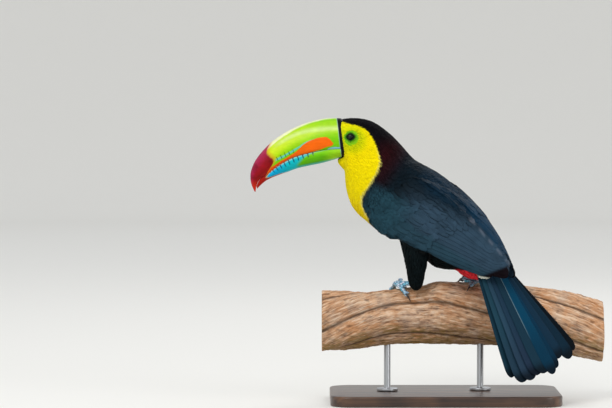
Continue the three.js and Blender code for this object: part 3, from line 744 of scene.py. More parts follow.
# The feet are covered with small plates, some bleached, with dark seams between them.
scaly = add(tree, "Attribute", attribute_name="Scaly")
coarse_cells = {"Vector": where.outputs["Object"], "Scale": 1 / PLATE_WIDTH}
plates = add(tree, "TexVoronoi", coarse_cells)
seams = add(tree, "TexVoronoi", coarse_cells, feature="DISTANCE_TO_EDGE")
bleach = add(tree, "SeparateXYZ", {0: plates.outputs["Color"]})
pale = field(tree, toned.outputs[0], "#e0e6f4", bleach.outputs[0], scaly.outputs["Fac"])
in_seam = {"Value": seams.outputs["Distance"], "From Max": 0.16, "To Min": 1.0, "To Max": 0.0}
seam = add(tree, "MapRange", in_seam)
dark = add(tree, "Math", {0: seam.outputs[0], 1: scaly.outputs["Fac"]}, operation="MULTIPLY").outputs[0]
scaled = field(tree, pale, "#3a6682", dark)
height = add(tree, "Math", {0: dark, 1: -1.5, 2: folds.outputs["Distance"]}, operation="MULTIPLY_ADD")
bump = add(tree, "Bump", {"Height": height.outputs[0], "Strength": 0.5, "Distance": 0.0004})
tree.links.new(scaled, shader.inputs["Base Color"])
tree.links.new(bump.outputs[0], shader.inputs["Normal"])
finish(skin, bare_skin, "plumage_black", *FLESH, *FEET)

# %% [markdown]
# ## Feathers
# A feather is a thin vane on a shaft, wider in the middle, cupped a little, with its tip outermost.
# Hundreds of one kind are laid by giving each a short path over the guide, from its root in the
# skin to its tip at the surface. One master vane, a flattened sphere with few faces, is bent along
# each path, and all are written as one joined mesh.

# %% Master vanes: x runs across from -1 to 1, y along from 0 to 1, z is height in mm
def small_vane(name, around, rings, thick, camber, fullest):
    """A vane from a flattened sphere. 'fullest' is where along it the vane is widest."""
    deselect()
    bpy.ops.mesh.primitive_uv_sphere_add(segments=around, ring_count=rings, radius=1)
    vane = bpy.context.active_object
    vane.name = name
    x, height, z = points_of(vane).T
    y = ((z + 1) / 2) ** (math.log(fullest) / math.log(0.5))
    place_points(vane, np.stack([x, y, height * thick + camber * (1 - x**2)], axis=1))
    in_edit_mode(vane, lambda: bpy.ops.mesh.normals_make_consistent(inside=False))
    return vane


# The front web of a long vane is this much slimmer, its tip starts to round at this share, and
# a wing's and a tail's vanes have these shares of their full width at the root.
SLIM_SIDE, ROUND_FROM = 0.72, 0.92
WING_ROOT_WIDTH, TAIL_ROOT_WIDTH = 0.7, 0.38


def web_width(y, root_width):
    """The half width along a long vane: narrow at the root, full at four fifths, round at the tip."""
    width = np.clip(y / 0.16, 0.0, 1.0) ** 0.55 * (root_width + (1 - root_width) * np.minimum(y / 0.8, 1))
    width *= np.sqrt(np.clip(1 - ((y - ROUND_FROM) / (1 - ROUND_FROM)).clip(0) ** 2.2, 0.0, 1.0))
    return np.maximum(width, 0.02)


def flight_vane(name, root_width, thick):
    """A long stiff vane from a grid: its round tip, its narrower front web and its shaft's groove."""
    deselect()
    bpy.ops.mesh.primitive_grid_add(x_subdivisions=8, y_subdivisions=26, size=2)
    vane = bpy.context.active_object
    vane.name = name
    x, y, _ = points_of(vane).T
    y = 1 - ((1 - y) / 2) ** 1.7
    across = x * web_width(y, root_width) * np.where(x > 0, SLIM_SIDE, 1.0)
    place_points(vane, np.stack([across, y, 0 * y], axis=1))
    modify(vane, "SOLIDIFY", thickness=thick, offset=0)
    across, y, z = points_of(vane).T
    cupped = 0.2 * (1 - across**2) - 0.1 * np.exp(-((across / 0.1) ** 2))
    place_points(vane, np.stack([across, y, z + cupped], axis=1))
    return vane


VANES = {
    "fine": small_vane("fine_vane", 6, 4, 0.1, 0.08, 0.58),
    "broad": small_vane("broad_vane", 8, 5, 0.12, 0.12, 0.62),
    "scale": small_vane("scale_vane", 8, 4, 0.45, 0.3, 0.5),
    "flight": flight_vane("flight_vane", WING_ROOT_WIDTH, 0.22),
    "tail": flight_vane("tail_vane", TAIL_ROOT_WIDTH, 0.15),
}


# %% Write many vanes as one mesh
# Each vane is a patch of this size on the map that the bake uses, at its root's place.
BAKE_PATCH = 0.003


def lay(name, vane, paths, normals, widths, colours, tones, roll=None, flip=False, conform=None):
    """Bend a master vane along each path, in metres, and return one joined piece.

    paths and normals are (feathers, stations, 3). colours has one for each station of a path, or
    for each point of a vane. 'conform' moves the points of long vanes onto the body.
    """
    shape = points_of(vane)
    faces = [tuple(face.vertices) for face in vane.data.polygons]
    if flip:
        shape = shape * (-1, 1, 1)
        faces = [face[::-1] for face in faces]
    count, stations = paths.shape[:2]
    at = np.clip(shape[:, 1], 0, 1) * (stations - 1)
    low = np.minimum(at.astype(int), stations - 2)
    share = (at - low)[None, :, None]
    spine = paths[:, low] * (1 - share) + paths[:, low + 1] * share
    up = unit(normals[:, low] * (1 - share) + normals[:, low + 1] * share)
    steps = np.gradient(paths, axis=1)
    ahead = unit(steps[:, low] * (1 - share) + steps[:, low + 1] * share)
    across = unit(np.cross(ahead, up))
    up = np.cross(across, ahead)
    roll = np.zeros(count) if roll is None else roll
    turned = np.cos(roll)[:, None, None] * across + np.sin(roll)[:, None, None] * up
    risen = np.cos(roll)[:, None, None] * up - np.sin(roll)[:, None, None] * across
    sideways = turned * (shape[:, 0][None, :, None] * widths[:, None, None])
    height = shape[:, 2][None, :, None] * MM
    if conform:
        points = conform(spine + sideways, spine) + up * height
    else:
        points = spine + sideways + risen * height
    mesh = bpy.data.meshes.new(name)
    sizes = np.array([len(face) for face in faces])
    corners = np.concatenate(faces)
    steps_per = len(shape)
    mesh.vertices.add(count * steps_per)
    mesh.vertices.foreach_set("co", points.astype(np.float32).ravel())
    mesh.loops.add(count * len(corners))
    index = (corners[None, :] + steps_per * np.arange(count)[:, None]).ravel()
    mesh.loops.foreach_set("vertex_index", index.astype(np.int32))
    mesh.polygons.add(count * len(faces))
    starts = np.concatenate([[0], np.cumsum(np.tile(sizes, count))[:-1]])
    mesh.polygons.foreach_set("loop_start", starts.astype(np.int32))
    mesh.update(calc_edges=True)
    piece = bpy.data.objects.new(name, mesh)
    bpy.context.scene.collection.objects.link(piece)
    if colours.shape[1] == stations:
        colours = colours[:, low] * (1 - share) + colours[:, low + 1] * share
    colour_points(piece, colours.reshape(-1, 4))
    # The material needs each point's place on its vane and the vane's own tone.
    local = np.empty((count, steps_per, 3))
    local[..., :2] = shape[:, :2]
    local[..., 2] = tones[:, None]
    store(piece, "Feather", local.reshape(-1, 3))
    centre = places_on_map(paths[:, 0])
    patch = np.stack([shape[:, 0] / 2, shape[:, 1] - 0.5], axis=1) * BAKE_PATCH
    on_map = (centre[:, None, :] + patch[None]).reshape(-1, 2)[index]
    uv = mesh.uv_layers.new(name="OFBake")
    uv.data.foreach_set("uv", on_map.astype(np.float32).ravel())
    return piece


# %% [markdown]
# ## Feather material
# A vane is a comb of fine barbs that leave the shaft at an angle and hook together. Pigment gives
# the colour, and the barbs give a soft silky sheen. Real barbs lie about 0.3 mm apart, which is too
# fine to show here, so they are drawn about 0.8 mm apart.

# %% Barbs across the vane, a paler or darker feather, and a dark root: painted shade under the overlap
def feather_material(name, roughness, sheen, sheen_tint, barbs, contrast, specular):
    material, tree, shader = new_material(name, Roughness=roughness, Sheen_Weight=sheen)
    shader.inputs["Sheen Tint"].default_value = linear(sheen_tint)
    shader.inputs["Sheen Roughness"].default_value = 0.4
    shader.inputs["Specular IOR Level"].default_value = specular
    tint = add(tree, "Attribute", attribute_name="Plumage")
    vane = add(tree, "Attribute", attribute_name="Feather")
    split = add(tree, "SeparateXYZ", {0: vane.outputs["Vector"]})
    across, along, tone = split.outputs
    aside = add(tree, "Math", {0: across}, operation="ABSOLUTE")
    slant = add(tree, "Math", {0: aside.outputs[0], 1: -0.3, 2: along}, operation="MULTIPLY_ADD")
    unevenness = add(tree, "TexNoise", {"Vector": vane.outputs["Vector"], "Scale": 5.0})
    bent = {0: unevenness.outputs[0], 1: 0.06, 2: slant.outputs[0]}
    wavy = add(tree, "Math", bent, operation="MULTIPLY_ADD")
    phase = add(tree, "Math", {0: wavy.outputs[0], 1: barbs * 2 * math.pi}, operation="MULTIPLY")
    barb = add(tree, "Math", {0: phase.outputs[0]}, operation="SINE")
    spread = {"From Min": -1.0, "To Min": 1 - contrast, "To Max": 1 + contrast}
    fine = add(tree, "MapRange", {"Value": barb.outputs[0], **spread})
    each = add(tree, "MapRange", {"Value": tone, "To Min": 1 - 1.3 * contrast, "To Max": 1 + 1.3 * contrast})
    # Each vane darkens towards its root: painted shade where the feathers above overlap it.
    root = add(tree, "MapRange", {"Value": along, "From Max": 0.5, "To Min": 1 - 2 * contrast, "To Max": 1.0})
    shade = add(tree, "Math", {0: fine.outputs[0], 1: each.outputs[0]}, operation="MULTIPLY")
    shade = add(tree, "Math", {0: shade.outputs[0], 1: root.outputs[0]}, operation="MULTIPLY")
    toned = add(tree, "VectorMath", {0: tint.outputs["Color"], "Scale": shade.outputs[0]}, operation="SCALE")
    bump = add(tree, "Bump", {"Height": barb.outputs[0], "Strength": 0.25, "Distance": 0.0001})
    tree.links.new(toned.outputs[0], shader.inputs["Base Color"])
    tree.links.new(bump.outputs[0], shader.inputs["Normal"])
    return material


soft_yellow = feather_material("soft_yellow_feathers", 0.75, 0.06, "#fff2a0", 7, 0.04, 0.06)
soft_black = feather_material("soft_black_feathers", 0.65, 0.01, "#4a3c48", 9, 0.2, 0.04)
sleek_blue = feather_material("sleek_blue_black_feathers", 0.55, 0.01, "#3f6d94", 11, 0.14, 0.04)
silky_blue = feather_material("silky_wing_coverts", 0.5, 0.01, "#3f6d94", 30, 0.08, 0.05)
stiff_blue = feather_material("stiff_flight_feathers", 0.5, 0.01, "#3f6d94", 70, 0.08, 0.04)
loose_bright = feather_material("loose_vent_feathers", 0.75, 0.15, "#ff9c98", 9, 0.06, 0.06)

# %% [markdown]
# ## The coat
# Small feathers cover the face and get longer towards the breast and back. Each tract has its own
# spacing, length and width. Roots are strewn over the guide at random and thinned until no two lie
# closer than the tract's spacing, which gives an even cover with no rows.

# %% Tracts: spacing, length, half width, coat depth, all in mm
TRACTS = {
    "face": (1.3, 5.6, 1.1, 0.8),
    "throat": (1.6, 8.5, 1.45, 1.0),
    "crown": (1.5, 7.0, 1.3, 1.0),
    "neck": (1.9, 9.5, 1.7, 1.3),
    "breast": (2.5, 12.0, 2.2, 1.5),
    "back": (2.5, 12.5, 2.6, 1.4),
    "wing": (2.8, 11.5, 3.0, 0.7),
    "coverts": (4.4, 26.0, 4.4, 0.5),
    "scapulars": (4.0, 22.0, 4.2, 0.5),
    "thigh": (2.2, 11.0, 1.6, 1.8),
    "red": (2.0, 12.0, 1.7, 1.8),
    "white": (1.8, 8.0, 1.4, 1.2),
}
TRACT_NAMES = list(TRACTS)

# Distances on the wing are measured rearwards from this line in side view. The small coverts
# end at the first one, and the roots of the longer ones at the second and third.
COVERT_LINE = [(-88.8, 236.7), (-47.0, 270.8)]
LESSER_COVERTS_END, COVERT_ROOTS_END, SCAPULAR_ROOTS_END = 26, 60, 72
SCAPULARS_ABOVE = 24


def behind_covert_line(flat):
    start, end = np.array(COVERT_LINE)
    ahead = unit(end - start)
    return (flat[:, 0] - start[0]) * ahead[1] - (flat[:, 2] - start[1]) * ahead[0]


def tract_of(points):
    """The number of the tract that each point in metres belongs to."""
    mm = points / MM
    flat = folded_left(mm)
    node = nearest_node(points, FLESH + COVERTS)
    tract = np.full(len(points), TRACT_NAMES.index("back"))
    bib = bib_depth(flat) > 0
    is_head = np.isin(node, ["head", "neck"])
    tract[is_head] = TRACT_NAMES.index("neck")
    tract[is_head & (flat[:, 0] < -66) & (flat[:, 2] > 315)] = TRACT_NAMES.index("crown")
    _, above = wing_axes(flat)
    tract[(node == "trunk") & (above < 30)] = TRACT_NAMES.index("breast")
    tract[bib] = TRACT_NAMES.index("throat")
    tract[bib & (flat[:, 2] > 300)] = TRACT_NAMES.index("face")
    on_wing = np.isin(node, ["wing_left", "wing_right"])
    behind = behind_covert_line(flat)
    tract[on_wing] = TRACT_NAMES.index("wing")
    tract[on_wing & (behind > LESSER_COVERTS_END)] = TRACT_NAMES.index("coverts")
    tract[on_wing & (above > SCAPULARS_ABOVE)] = TRACT_NAMES.index("scapulars")
    tract[np.isin(node, ["thigh_left", "thigh_right"])] = TRACT_NAMES.index("thigh")
    tract[node == "undertail_coverts"] = TRACT_NAMES.index("red")
    tract[node == "uppertail_coverts"] = TRACT_NAMES.index("white")
    return tract


# %% Strew roots over the guide
guide.data.calc_loop_triangles()
guide_places = points_of(guide)
guide_corners = np.array([tuple(t.vertices) for t in guide.data.loop_triangles])
corner_a, corner_b, corner_c = (guide_places[guide_corners[:, k]] for k in range(3))
face_middles = (corner_a + corner_b + corner_c) / 3
face_tracts = tract_of(face_middles)
face_spacing = np.array([TRACTS[name][0] for name in TRACT_NAMES])[face_tracts]
face_areas = np.linalg.norm(np.cross(corner_b - corner_a, corner_c - corner_a), axis=1) / 2 / MM**2
CANDIDATES_PER_ROOT = 5

wanted = CANDIDATES_PER_ROOT * face_areas / face_spacing**2
picks = random.choice(len(wanted), size=int(wanted.sum()), p=wanted / wanted.sum())
one, two = random.random((2, len(picks), 1))
folded = np.where(one + two > 1, 1 - one, one), np.where(one + two > 1, 1 - two, two)
candidates = (
    corner_a[picks]
    + folded[0] * (corner_b[picks] - corner_a[picks])
    + folded[1] * (corner_c[picks] - corner_a[picks])
)
candidate_tracts = face_tracts[picks]
candidate_gaps = face_spacing[picks]

finder = KDTree(len(candidates))
for number, point in enumerate(candidates):
    finder.insert(point, number)
finder.balance()
free = np.ones(len(candidates), bool)
kept = []
for number in random.permutation(len(candidates)):
    if not free[number]:
        continue
    kept.append(number)
    for _, other, _ in finder.find_range(candidates[number], candidate_gaps[number] * MM):
        free[other] = False
roots = candidates[kept]
root_tracts = candidate_tracts[kept]
print("roots:", len(roots), {name: int((root_tracts == i).sum()) for i, name in enumerate(TRACT_NAMES)})

# %% Leave out roots in the bill, on bare skin and under the long feathers
behind = behind_covert_line(folded_left(roots / MM))
covered = (root_tracts == TRACT_NAMES.index("coverts")) & (behind > COVERT_ROOTS_END)
covered |= (root_tracts == TRACT_NAMES.index("scapulars")) & (behind > SCAPULAR_ROOTS_END)
good = (gap_to(bill_trees, roots) > 0.7) & (eye_gap(roots) > BARE_RADIUS + 0.8) & ~covered
roots, root_tracts = roots[good], root_tracts[good]
print("roots kept:", len(roots))

# %% Paths from root to tip, over the guide
PATH_STEPS = 4


def feather_paths(starts, lengths, depths, raised):
    """Paths that follow the lie, rising from the skin to the guide's surface and a little above."""
    _, up = on_guide(starts)
    path, normals = [starts], [up]
    for step in range(PATH_STEPS):
        ahead = lie(path[-1], normals[-1])
        nearest, up = on_guide(path[-1] + ahead * (lengths / PATH_STEPS)[:, None])
        path.append(nearest)
        normals.append(up)
    path, normals = np.stack(path, axis=1), np.stack(normals, axis=1)
    share = np.linspace(0, 1, PATH_STEPS + 1)[None, :, None]
    sunk = -depths[:, None, None] * (1 - share) ** 1.4 + raised[:, None, None] * share
    return path + normals * sunk, normals


def coat_piece(name, material, slot, tract, vane, *nodes):
    """The feathers of one tract as one piece, which stands for these nodes."""
    starts = roots[root_tracts == TRACT_NAMES.index(tract)]
    count = len(starts)
    _, length, half, depth = np.array(TRACTS[tract]) * MM
    lengths = length * random.uniform(0.82, 1.15, count)
    near_eye = smooth_step(BARE_RADIUS, BARE_RADIUS + 9, eye_gap(starts))
    lengths *= 0.42 + 0.58 * near_eye
    widths = half * random.uniform(0.85, 1.15, count) * (0.7 + 0.3 * near_eye)
    depths = depth * (0.25 + 0.75 * near_eye)
    raised = random.uniform(-0.05, 0.12, count) * MM
    paths, normals = feather_paths(starts, lengths, depths, raised)
    clear = eye_gap(paths[:, -1]) > BARE_RADIUS + 0.2
    if slot == "plumage_wing":
        clear &= gap_to([node_trees[f"wing_{side}"] for side in EYES], paths[:, -1]) < 1.1
    paths, normals, widths, count = paths[clear], normals[clear], widths[clear], int(clear.sum())
    jitter = np.repeat(random.normal(0, 0.4, count), PATH_STEPS + 1)
    colours = plumage_colour(paths.reshape(-1, 3), jitter).reshape(count, PATH_STEPS + 1, 4)
    tones = random.random(count)
    roll = np.radians(random.normal(0, 2.5, count))
    piece = lay(name, VANES[vane], paths, normals, widths, colours, tones, roll)
    finish(piece, material, slot, *nodes)


# %% Lay the coat: name, material, slot, tract, vane and the node that it stands for
COAT = [
    ("coat_face", soft_yellow, "plumage_face", "face", "fine"),
    ("coat_throat", soft_yellow, "plumage_face", "throat", "fine"),
    ("coat_crown", soft_black, "plumage_black", "crown", "fine"),
    ("coat_neck", soft_black, "plumage_black", "neck", "fine"),
    ("coat_breast", soft_black, "plumage_black", "breast", "fine"),
    ("coat_back", sleek_blue, "plumage_black", "back", "broad"),
    ("coat_thighs", soft_black, "plumage_black", "thigh", "fine"),
    ("coat_wing_front", sleek_blue, "plumage_wing", "wing", "broad"),
    ("coat_wing_coverts", silky_blue, "plumage_wing", "coverts", "broad"),
    ("coat_scapulars", silky_blue, "plumage_wing", "scapulars", "broad"),
    ("undertail_feathers", loose_bright, "plumage_red", "red", "fine", "undertail_coverts"),
    ("uppertail_feathers", loose_bright, "plumage_white", "white", "fine", "uppertail_coverts"),
]
for row in COAT:
    coat_piece(*row)

# %% [markdown]
# ## The folded wing
# In a folded wing the long feathers lie like a fan closed over itself: primaries lowest, then
# secondaries, tertials on top, and rows of coverts over their roots. Each row is given in side
# view by its first and last feather, and is projected on the left wing. The right wing mirrors it.

# %% Rows: name, count, first and last root, first and last tip, half width, depth, bow
WING_ROWS = [
    ("primaries", 6, (-20, 183), (2, 199), (77, 156), (74, 176), 7.0, 1.3, 3),
    ("secondaries", 12, (-66, 201), (-16, 246), (58, 156.5), (76, 184), 8.5, 1.0, 4),
    ("tertials", 8, (-24, 250), (28, 254), (58, 186), (78, 203), 9.5, 0.7, 9),
]
WING_STATIONS = 14
# The tips are uneven by this much in mm, and each vane tilts so that its upper edge overlaps.
RAGGED, TILT = 4.0, 0.035
TRUNK_POINT = np.array([-12.0, -8.0, 0.0]) * MM
TRUNK_SIDE = np.array([math.sin(math.radians(TRUNK_TURN)), math.cos(math.radians(TRUNK_TURN)), 0.0])


def seen_from_left(x, z):
    """The first place on the guide that a line along +Y meets at this X and Z, in mm."""
    start = Vector((x, -400, z)) * MM
    hit = guide_tree.ray_cast(start, Vector((0, 1, 0)))[0]
    return hit or guide_tree.find_nearest(Vector((x, -60 - 0.445 * x, z)) * MM)[0]


def mirrored(points):
    aside = (points - TRUNK_POINT) @ TRUNK_SIDE
    return points - 2 * aside[..., None] * TRUNK_SIDE


def wing_row(row):
    """Paths of one row on the left wing, in metres."""
    _, count, root_a, root_b, tip_a, tip_b, *_, bow = row
    along = np.linspace(0, 1, WING_STATIONS)
    paths = []
    for place in np.linspace(0, 1, count):
        root = np.array(root_a) * (1 - place) + np.array(root_b) * place
        tip = np.array(tip_a) * (1 - place) + np.array(tip_b) * place
        tip = tip + unit(tip - root) * random.uniform(-RAGGED, 0)
        ahead = unit(tip - root)
        bowed = 4 * along * (1 - along) * bow * place
        line = root + along[:, None] * (tip - root) + bowed[:, None] * (-ahead[1], ahead[0])
        paths.append([tuple(seen_from_left(x, z)) for x, z in line])
    return np.array(paths)


def pressed(points, spine):
    """Vanes pressed to the body at their spine's depth, each tilted a little over the next."""
    flat, middle = points.reshape(-1, 3), spine.reshape(-1, 3)
    near, normal = on_guide(flat)
    below = ((middle - on_guide(middle)[0]) * normal).sum(axis=1)
    lower = (middle - flat)[:, 2] * TILT
    return (near + normal * (below + lower)[:, None]).reshape(points.shape)


def wing_feathers(side):
    """All the long feathers of one wing as one piece."""
    pieces = []
    for row in WING_ROWS:
        kind, count, *_, half, deep, _ = row
        paths = wing_row(row)
        if side == "right":
            paths = mirrored(paths)
        flat_paths, flat_up = on_guide(paths.reshape(-1, 3))
        paths, up = flat_paths.reshape(paths.shape), flat_up.reshape(paths.shape)
        share = np.linspace(0, 1, WING_STATIONS)[None, :, None]
        paths = paths + up * (-deep * MM * (1 - 0.75 * share**1.5))
        # One colour for now: each point gets its own once it lies in its place.
        colours = np.tile(PAINT["slate"], (count, WING_STATIONS, 1))
        tones = random.uniform(0.2, 0.8, count)
        piece = lay(
            f"{kind}_{side}", VANES["flight"], paths, up, np.full(count, half * MM), colours, tones,
            flip=side == "right", conform=pressed,
        )
        colour_points(piece, plumage_colour(points_of(piece)))
        pieces.append(piece)
    piece = joined(pieces, f"wing_feathers_{side}")
    in_edit_mode(piece, lambda: bpy.ops.mesh.normals_make_consistent(inside=False))
    finish(piece, stiff_blue, "plumage_wing", f"wing_{side}")


for side in EYES:
    wing_feathers(side)

# %% [markdown]
# ## The tail
# Ten long stiff feathers fan out from the tail's root. The middle pair lies on top and each
# feather outwards lies under its neighbour, so that they step down towards the sides. They are
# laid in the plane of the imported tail, with the same lengths and the same gap beside the last
# three.

# %% Tail feathers in the fan's own plane
TAIL_ROOT_X, TAIL_ROOT_Z = 44.5, 184.0
TAIL_ALONG = unit(np.array([0.46, -0.24, -0.856]))
TAIL_TWIST = math.radians(34)
TAIL_LENGTHS = [157, 167, 168, 165, 166, 171, 166, 157, 164, 159]
# How far the fan opens and half of its root's width, at its left and right edge.
TAIL_FAN, TAIL_ROOT_HALF = (11.9, 12.8), (18.0, 12.0)
SPLIT_AFTER, TAIL_SPLAY, TAIL_ROOF = 7, 2.0, 9.0
TAIL_HALF_WIDTHS = [8.0, 12.5, 12.5, 13.0, 14.0, 9.5, 8.0, 10.5, 11.0, 8.0]
# Where each feather starts across the tail's root, from its left edge to its right one: the
# right half's feathers lie crowded under the wing's tip.
TAIL_ROOTS = [0.1, 0.24, 0.4, 0.56, 0.72, 0.9, 0.92, 0.94, 0.95, 0.96]
# Each feather's own colour: blue-black with a painted sheen, slate on the left and teal on the middle pair.
# The feathers to the right are painted darker, as painted shade where they lie under the teal ones and the
# wing's tip.
TAIL_COLOURS = [
    "#14303e", "#1f3f4e", "#294457", "#1d3447", "#173242",
    "#053c56", "#063048", "#112c3f", "#0e2737", "#050e15",
]
TAIL_STATIONS = 12
MIDDLE_FEATHER = 5


def on_feathers(amounts):
    """How strong a marking is on each tail feather, given for some of them by number."""
    strength = np.zeros((len(TAIL_LENGTHS), 1, 1))
    for number, amount in amounts.items():
        strength[number] = amount
    return strength


flat_side = TRUNK_SIDE - (TRUNK_SIDE @ TAIL_ALONG) * TAIL_ALONG
tail_side = unit(flat_side)
tail_side = tail_side * math.cos(TAIL_TWIST) + np.cross(TAIL_ALONG, tail_side) * math.sin(TAIL_TWIST)
tail_up = np.cross(TAIL_ALONG, tail_side)
tail_root_y = -8.0 - (TAIL_ROOT_X + 12) * math.tan(math.radians(TRUNK_TURN))
tail_root = np.array([TAIL_ROOT_X, tail_root_y, TAIL_ROOT_Z])

paths = []
for number, length in enumerate(TAIL_LENGTHS):
    share = (number + 0.5) / len(TAIL_LENGTHS)
    aside = 2 * share - 1
    fan, root_half = (pair[0] + (pair[1] - pair[0]) * share for pair in (TAIL_FAN, TAIL_ROOT_HALF))
    angle = math.radians(fan * aside + TAIL_SPLAY * max(number + 0.5 - SPLIT_AFTER, 0))
    tip = tail_side * (aside * root_half + length * math.sin(angle)) + TAIL_ALONG * length * math.cos(angle)
    start = tail_side * (TAIL_ROOTS[number] * sum(TAIL_ROOT_HALF) - TAIL_ROOT_HALF[0])
    run = np.linspace(0, 1, TAIL_STATIONS)[:, None]
    layer = 1.0 - 0.24 * abs(number - MIDDLE_FEATHER)
    lift = layer - TAIL_ROOF * run * aside**2
    paths.append(tail_root + start + (tip - start) * run + tail_up * lift)
paths = np.array(paths) * MM
normals = np.broadcast_to(tail_up, paths.shape)
tail_half = np.array(TAIL_HALF_WIDTHS) * MM
vane_points = points_of(VANES["tail"])
across, along = vane_points[:, 0], vane_points[:, 1]
colours = np.array([linear(colour) for colour in TAIL_COLOURS])
colours = np.repeat(colours[:, None, :], len(vane_points), axis=1)
# The teal feathers have a thin pale edge on the left, and darken towards the tip.
pale_edge = smooth_step(0.75, 1.0, across / (SLIM_SIDE * web_width(along, TAIL_ROOT_WIDTH)))
pale_edge *= smooth_step(0.05, 0.15, along) * smooth_step(0.75, 0.6, along)
colours = tinted(colours, "#8fa9b0", pale_edge[None, :, None] * on_feathers({MIDDLE_FEATHER: 0.6, 7: 0.3}))
low_half = smooth_step(0.5, 0.85, along)[None, :, None]
colours = tinted(colours, "#072a3e", low_half * on_feathers({MIDDLE_FEATHER: 0.7, MIDDLE_FEATHER + 1: 0.7}))
# The lower halves of the left feathers have a violet cast.
colours = tinted(colours, "#22283d", low_half * on_feathers({1: 0.4, 2: 0.4, 3: 0.4}))
dark_tip = smooth_step(0.89, 0.97, along)[None, :, None]
colours = tinted(colours, "#080e14", dark_tip * 0.85)
leans = np.radians(np.linspace(1.5, -1.5, len(TAIL_LENGTHS)))
tones = random.uniform(0.3, 0.7, len(TAIL_LENGTHS))
tail = lay("tail_feathers", VANES["tail"], paths, normals, tail_half, colours, tones, leans)
in_edit_mode(tail, lambda: bpy.ops.mesh.normals_make_consistent(inside=False))
finish(tail, stiff_blue, "plumage_tail", "tail")

# %% [markdown]
# ## The bill
# A toucan's bill is a light bony box under a thin sheath of keratin, the stuff of nails, which
# grows a polish from use. Its form is swept: at each station a half oval stands on the cutting
# edge and reaches the ridge. The cutting edge of the upper half is notched like a dull saw.

# %% Stations of the bill: ridge, cutting edge and keel, X and Z in mm, and half width
BILL = [
    ((-129.0, 346.1), (-124.8, 308.8), (-123.7, 299.0), 18.5),
    ((-145.0, 345.8), (-140.0, 308.2), (-137.6, 294.4), 18.2),
    ((-162.0, 342.3), (-154.6, 305.8), (-151.0, 290.8), 17.2),
    ((-178.3, 336.6), (-169.3, 302.6), (-165.6, 287.8), 15.8),
    ((-194.7, 328.4), (-183.9, 298.3), (-179.0, 284.8), 14.1),
    ((-209.5, 318.4), (-196.7, 291.8), (-191.2, 280.4), 12.2),
    ((-222.3, 306.2), (-207.7, 284.3), (-202.2, 276.6), 10.2),
    ((-231.7, 293.8), (-216.9, 276.6), (-211.9, 272.7), 8.0),
    ((-236.7, 281.8), (-224.2, 272.4), (-219.0, 268.8), 5.9),
    ((-237.6, 272.7), (-228.1, 267.7), (-224.6, 264.2), 4.2),
    ((-236.2, 264.6), (-230.1, 262.4), (-229.4, 259.2), 2.6),
    ((-232.2, 255.4), (-231.2, 255.8), None, 0.7),
]
HEAD_Y = EYES["left"][0][1] / 2 / MM + EYES["right"][0][1] / 2 / MM
HALF_GAP = 0.08
NOTCH_DEPTH, NOTCH_LENGTH = 0.55, 4.2
RIM_LENGTH, RIM_HEIGHT = 2.6, 0.45


def tube(name, around, along, section, uv_name):
    """A closed swept form from a sphere. section(t, angle) gives points in mm and the UV."""
    deselect()
    bpy.ops.mesh.primitive_uv_sphere_add(segments=around, ring_count=along, radius=1)
    piece = bpy.context.active_object
    piece.name = name
    x, y, z = points_of(piece).T
    t = np.arccos(np.clip(z, -1, 1)) / math.pi
    angle = np.arctan2(y, x)
    points, u, v = section(t, angle)
    place_points(piece, points * MM)
    corners = np.empty(len(piece.data.loops), np.int32)
    piece.data.loops.foreach_get("vertex_index", corners)
    piece.data.uv_layers.active.name = uv_name
    pairs = np.stack([u, v], axis=1)[corners]
    piece.data.uv_layers[uv_name].data.foreach_set("uv", pairs.astype(np.float32).ravel())
    in_edit_mode(piece, lambda: bpy.ops.mesh.normals_make_consistent(inside=False))
    return piece


# The horn runs on into the head: a root station behind the first one, a little slimmer.
ROOT_BACK, ROOT_SLIMMER = 5.0, 1.2


def bill_half(stations, ridge_column, width_share, roundness, notched):
    ridge = [row[ridge_column] for row in stations]
    edge = [row[1] for row in stations]
    half = [[row[3]] for row in stations]
    slimmer = math.copysign(ROOT_SLIMMER, ridge[0][1] - edge[0][1])
    ridge = [(ridge[0][0] + ROOT_BACK, ridge[0][1] - slimmer), *ridge]
    edge = [(edge[0][0] + ROOT_BACK, edge[0][1]), *edge]
    half = [[half[0][0] - ROOT_SLIMMER], *half]
    last = len(stations)
    lengths = np.linalg.norm(np.diff(np.array(edge), axis=0), axis=1)
    run_at = np.concatenate([[0], np.cumsum(lengths)]) - lengths[0]

    def section(t, angle):
        station = t * last
        start = smooth_line(edge, station)
        up = smooth_line(ridge, station) - start
        height = np.linalg.norm(up, axis=1)
        up = up / height[:, None]
        width = smooth_line(half, station)[:, 0] * width_share
        run = np.interp(station, np.arange(last + 1), run_at)
        # A raised black rim runs round the base, where the horn meets the feathers.
        rim = RIM_HEIGHT * smooth_step(RIM_LENGTH + 0.8, RIM_LENGTH, run) * smooth_step(-2.5, 0, run)
        width = width + rim
        drawn = np.minimum(HALF_GAP, height / 4)
        if notched:
            teeth = np.abs((run / NOTCH_LENGTH) % 1 - 0.5) * 2
            where = smooth_step(18, 30, run) * smooth_step(108, 92, run)
            drawn = drawn + NOTCH_DEPTH * teeth**3 * where
        lift = np.maximum(np.sin(angle), 0) ** roundness
        bulge = 1 + 0.06 * np.sin(math.pi * np.minimum(lift * 1.6, 1))
        across = np.sign(np.cos(angle)) * np.abs(np.cos(angle)) ** 0.8 * width * bulge
        rise = drawn + lift * (height - drawn)
        flat = start + up * rise[:, None]
        points = np.stack([flat[:, 0], HEAD_Y + across, flat[:, 1]], axis=1)
        return points, (station - 1) / (last - 1), rise / height

    return section


upper_bill = tube("bill_upper_horn", 88, 220, bill_half(BILL, 0, 1.0, 0.82, True), "Horn")
LOWER_STATIONS = [row for row in BILL if row[2]]
lower_bill = tube("bill_lower_horn", 72, 170, bill_half(LOWER_STATIONS, 2, 0.97, 0.62, False), "Horn")

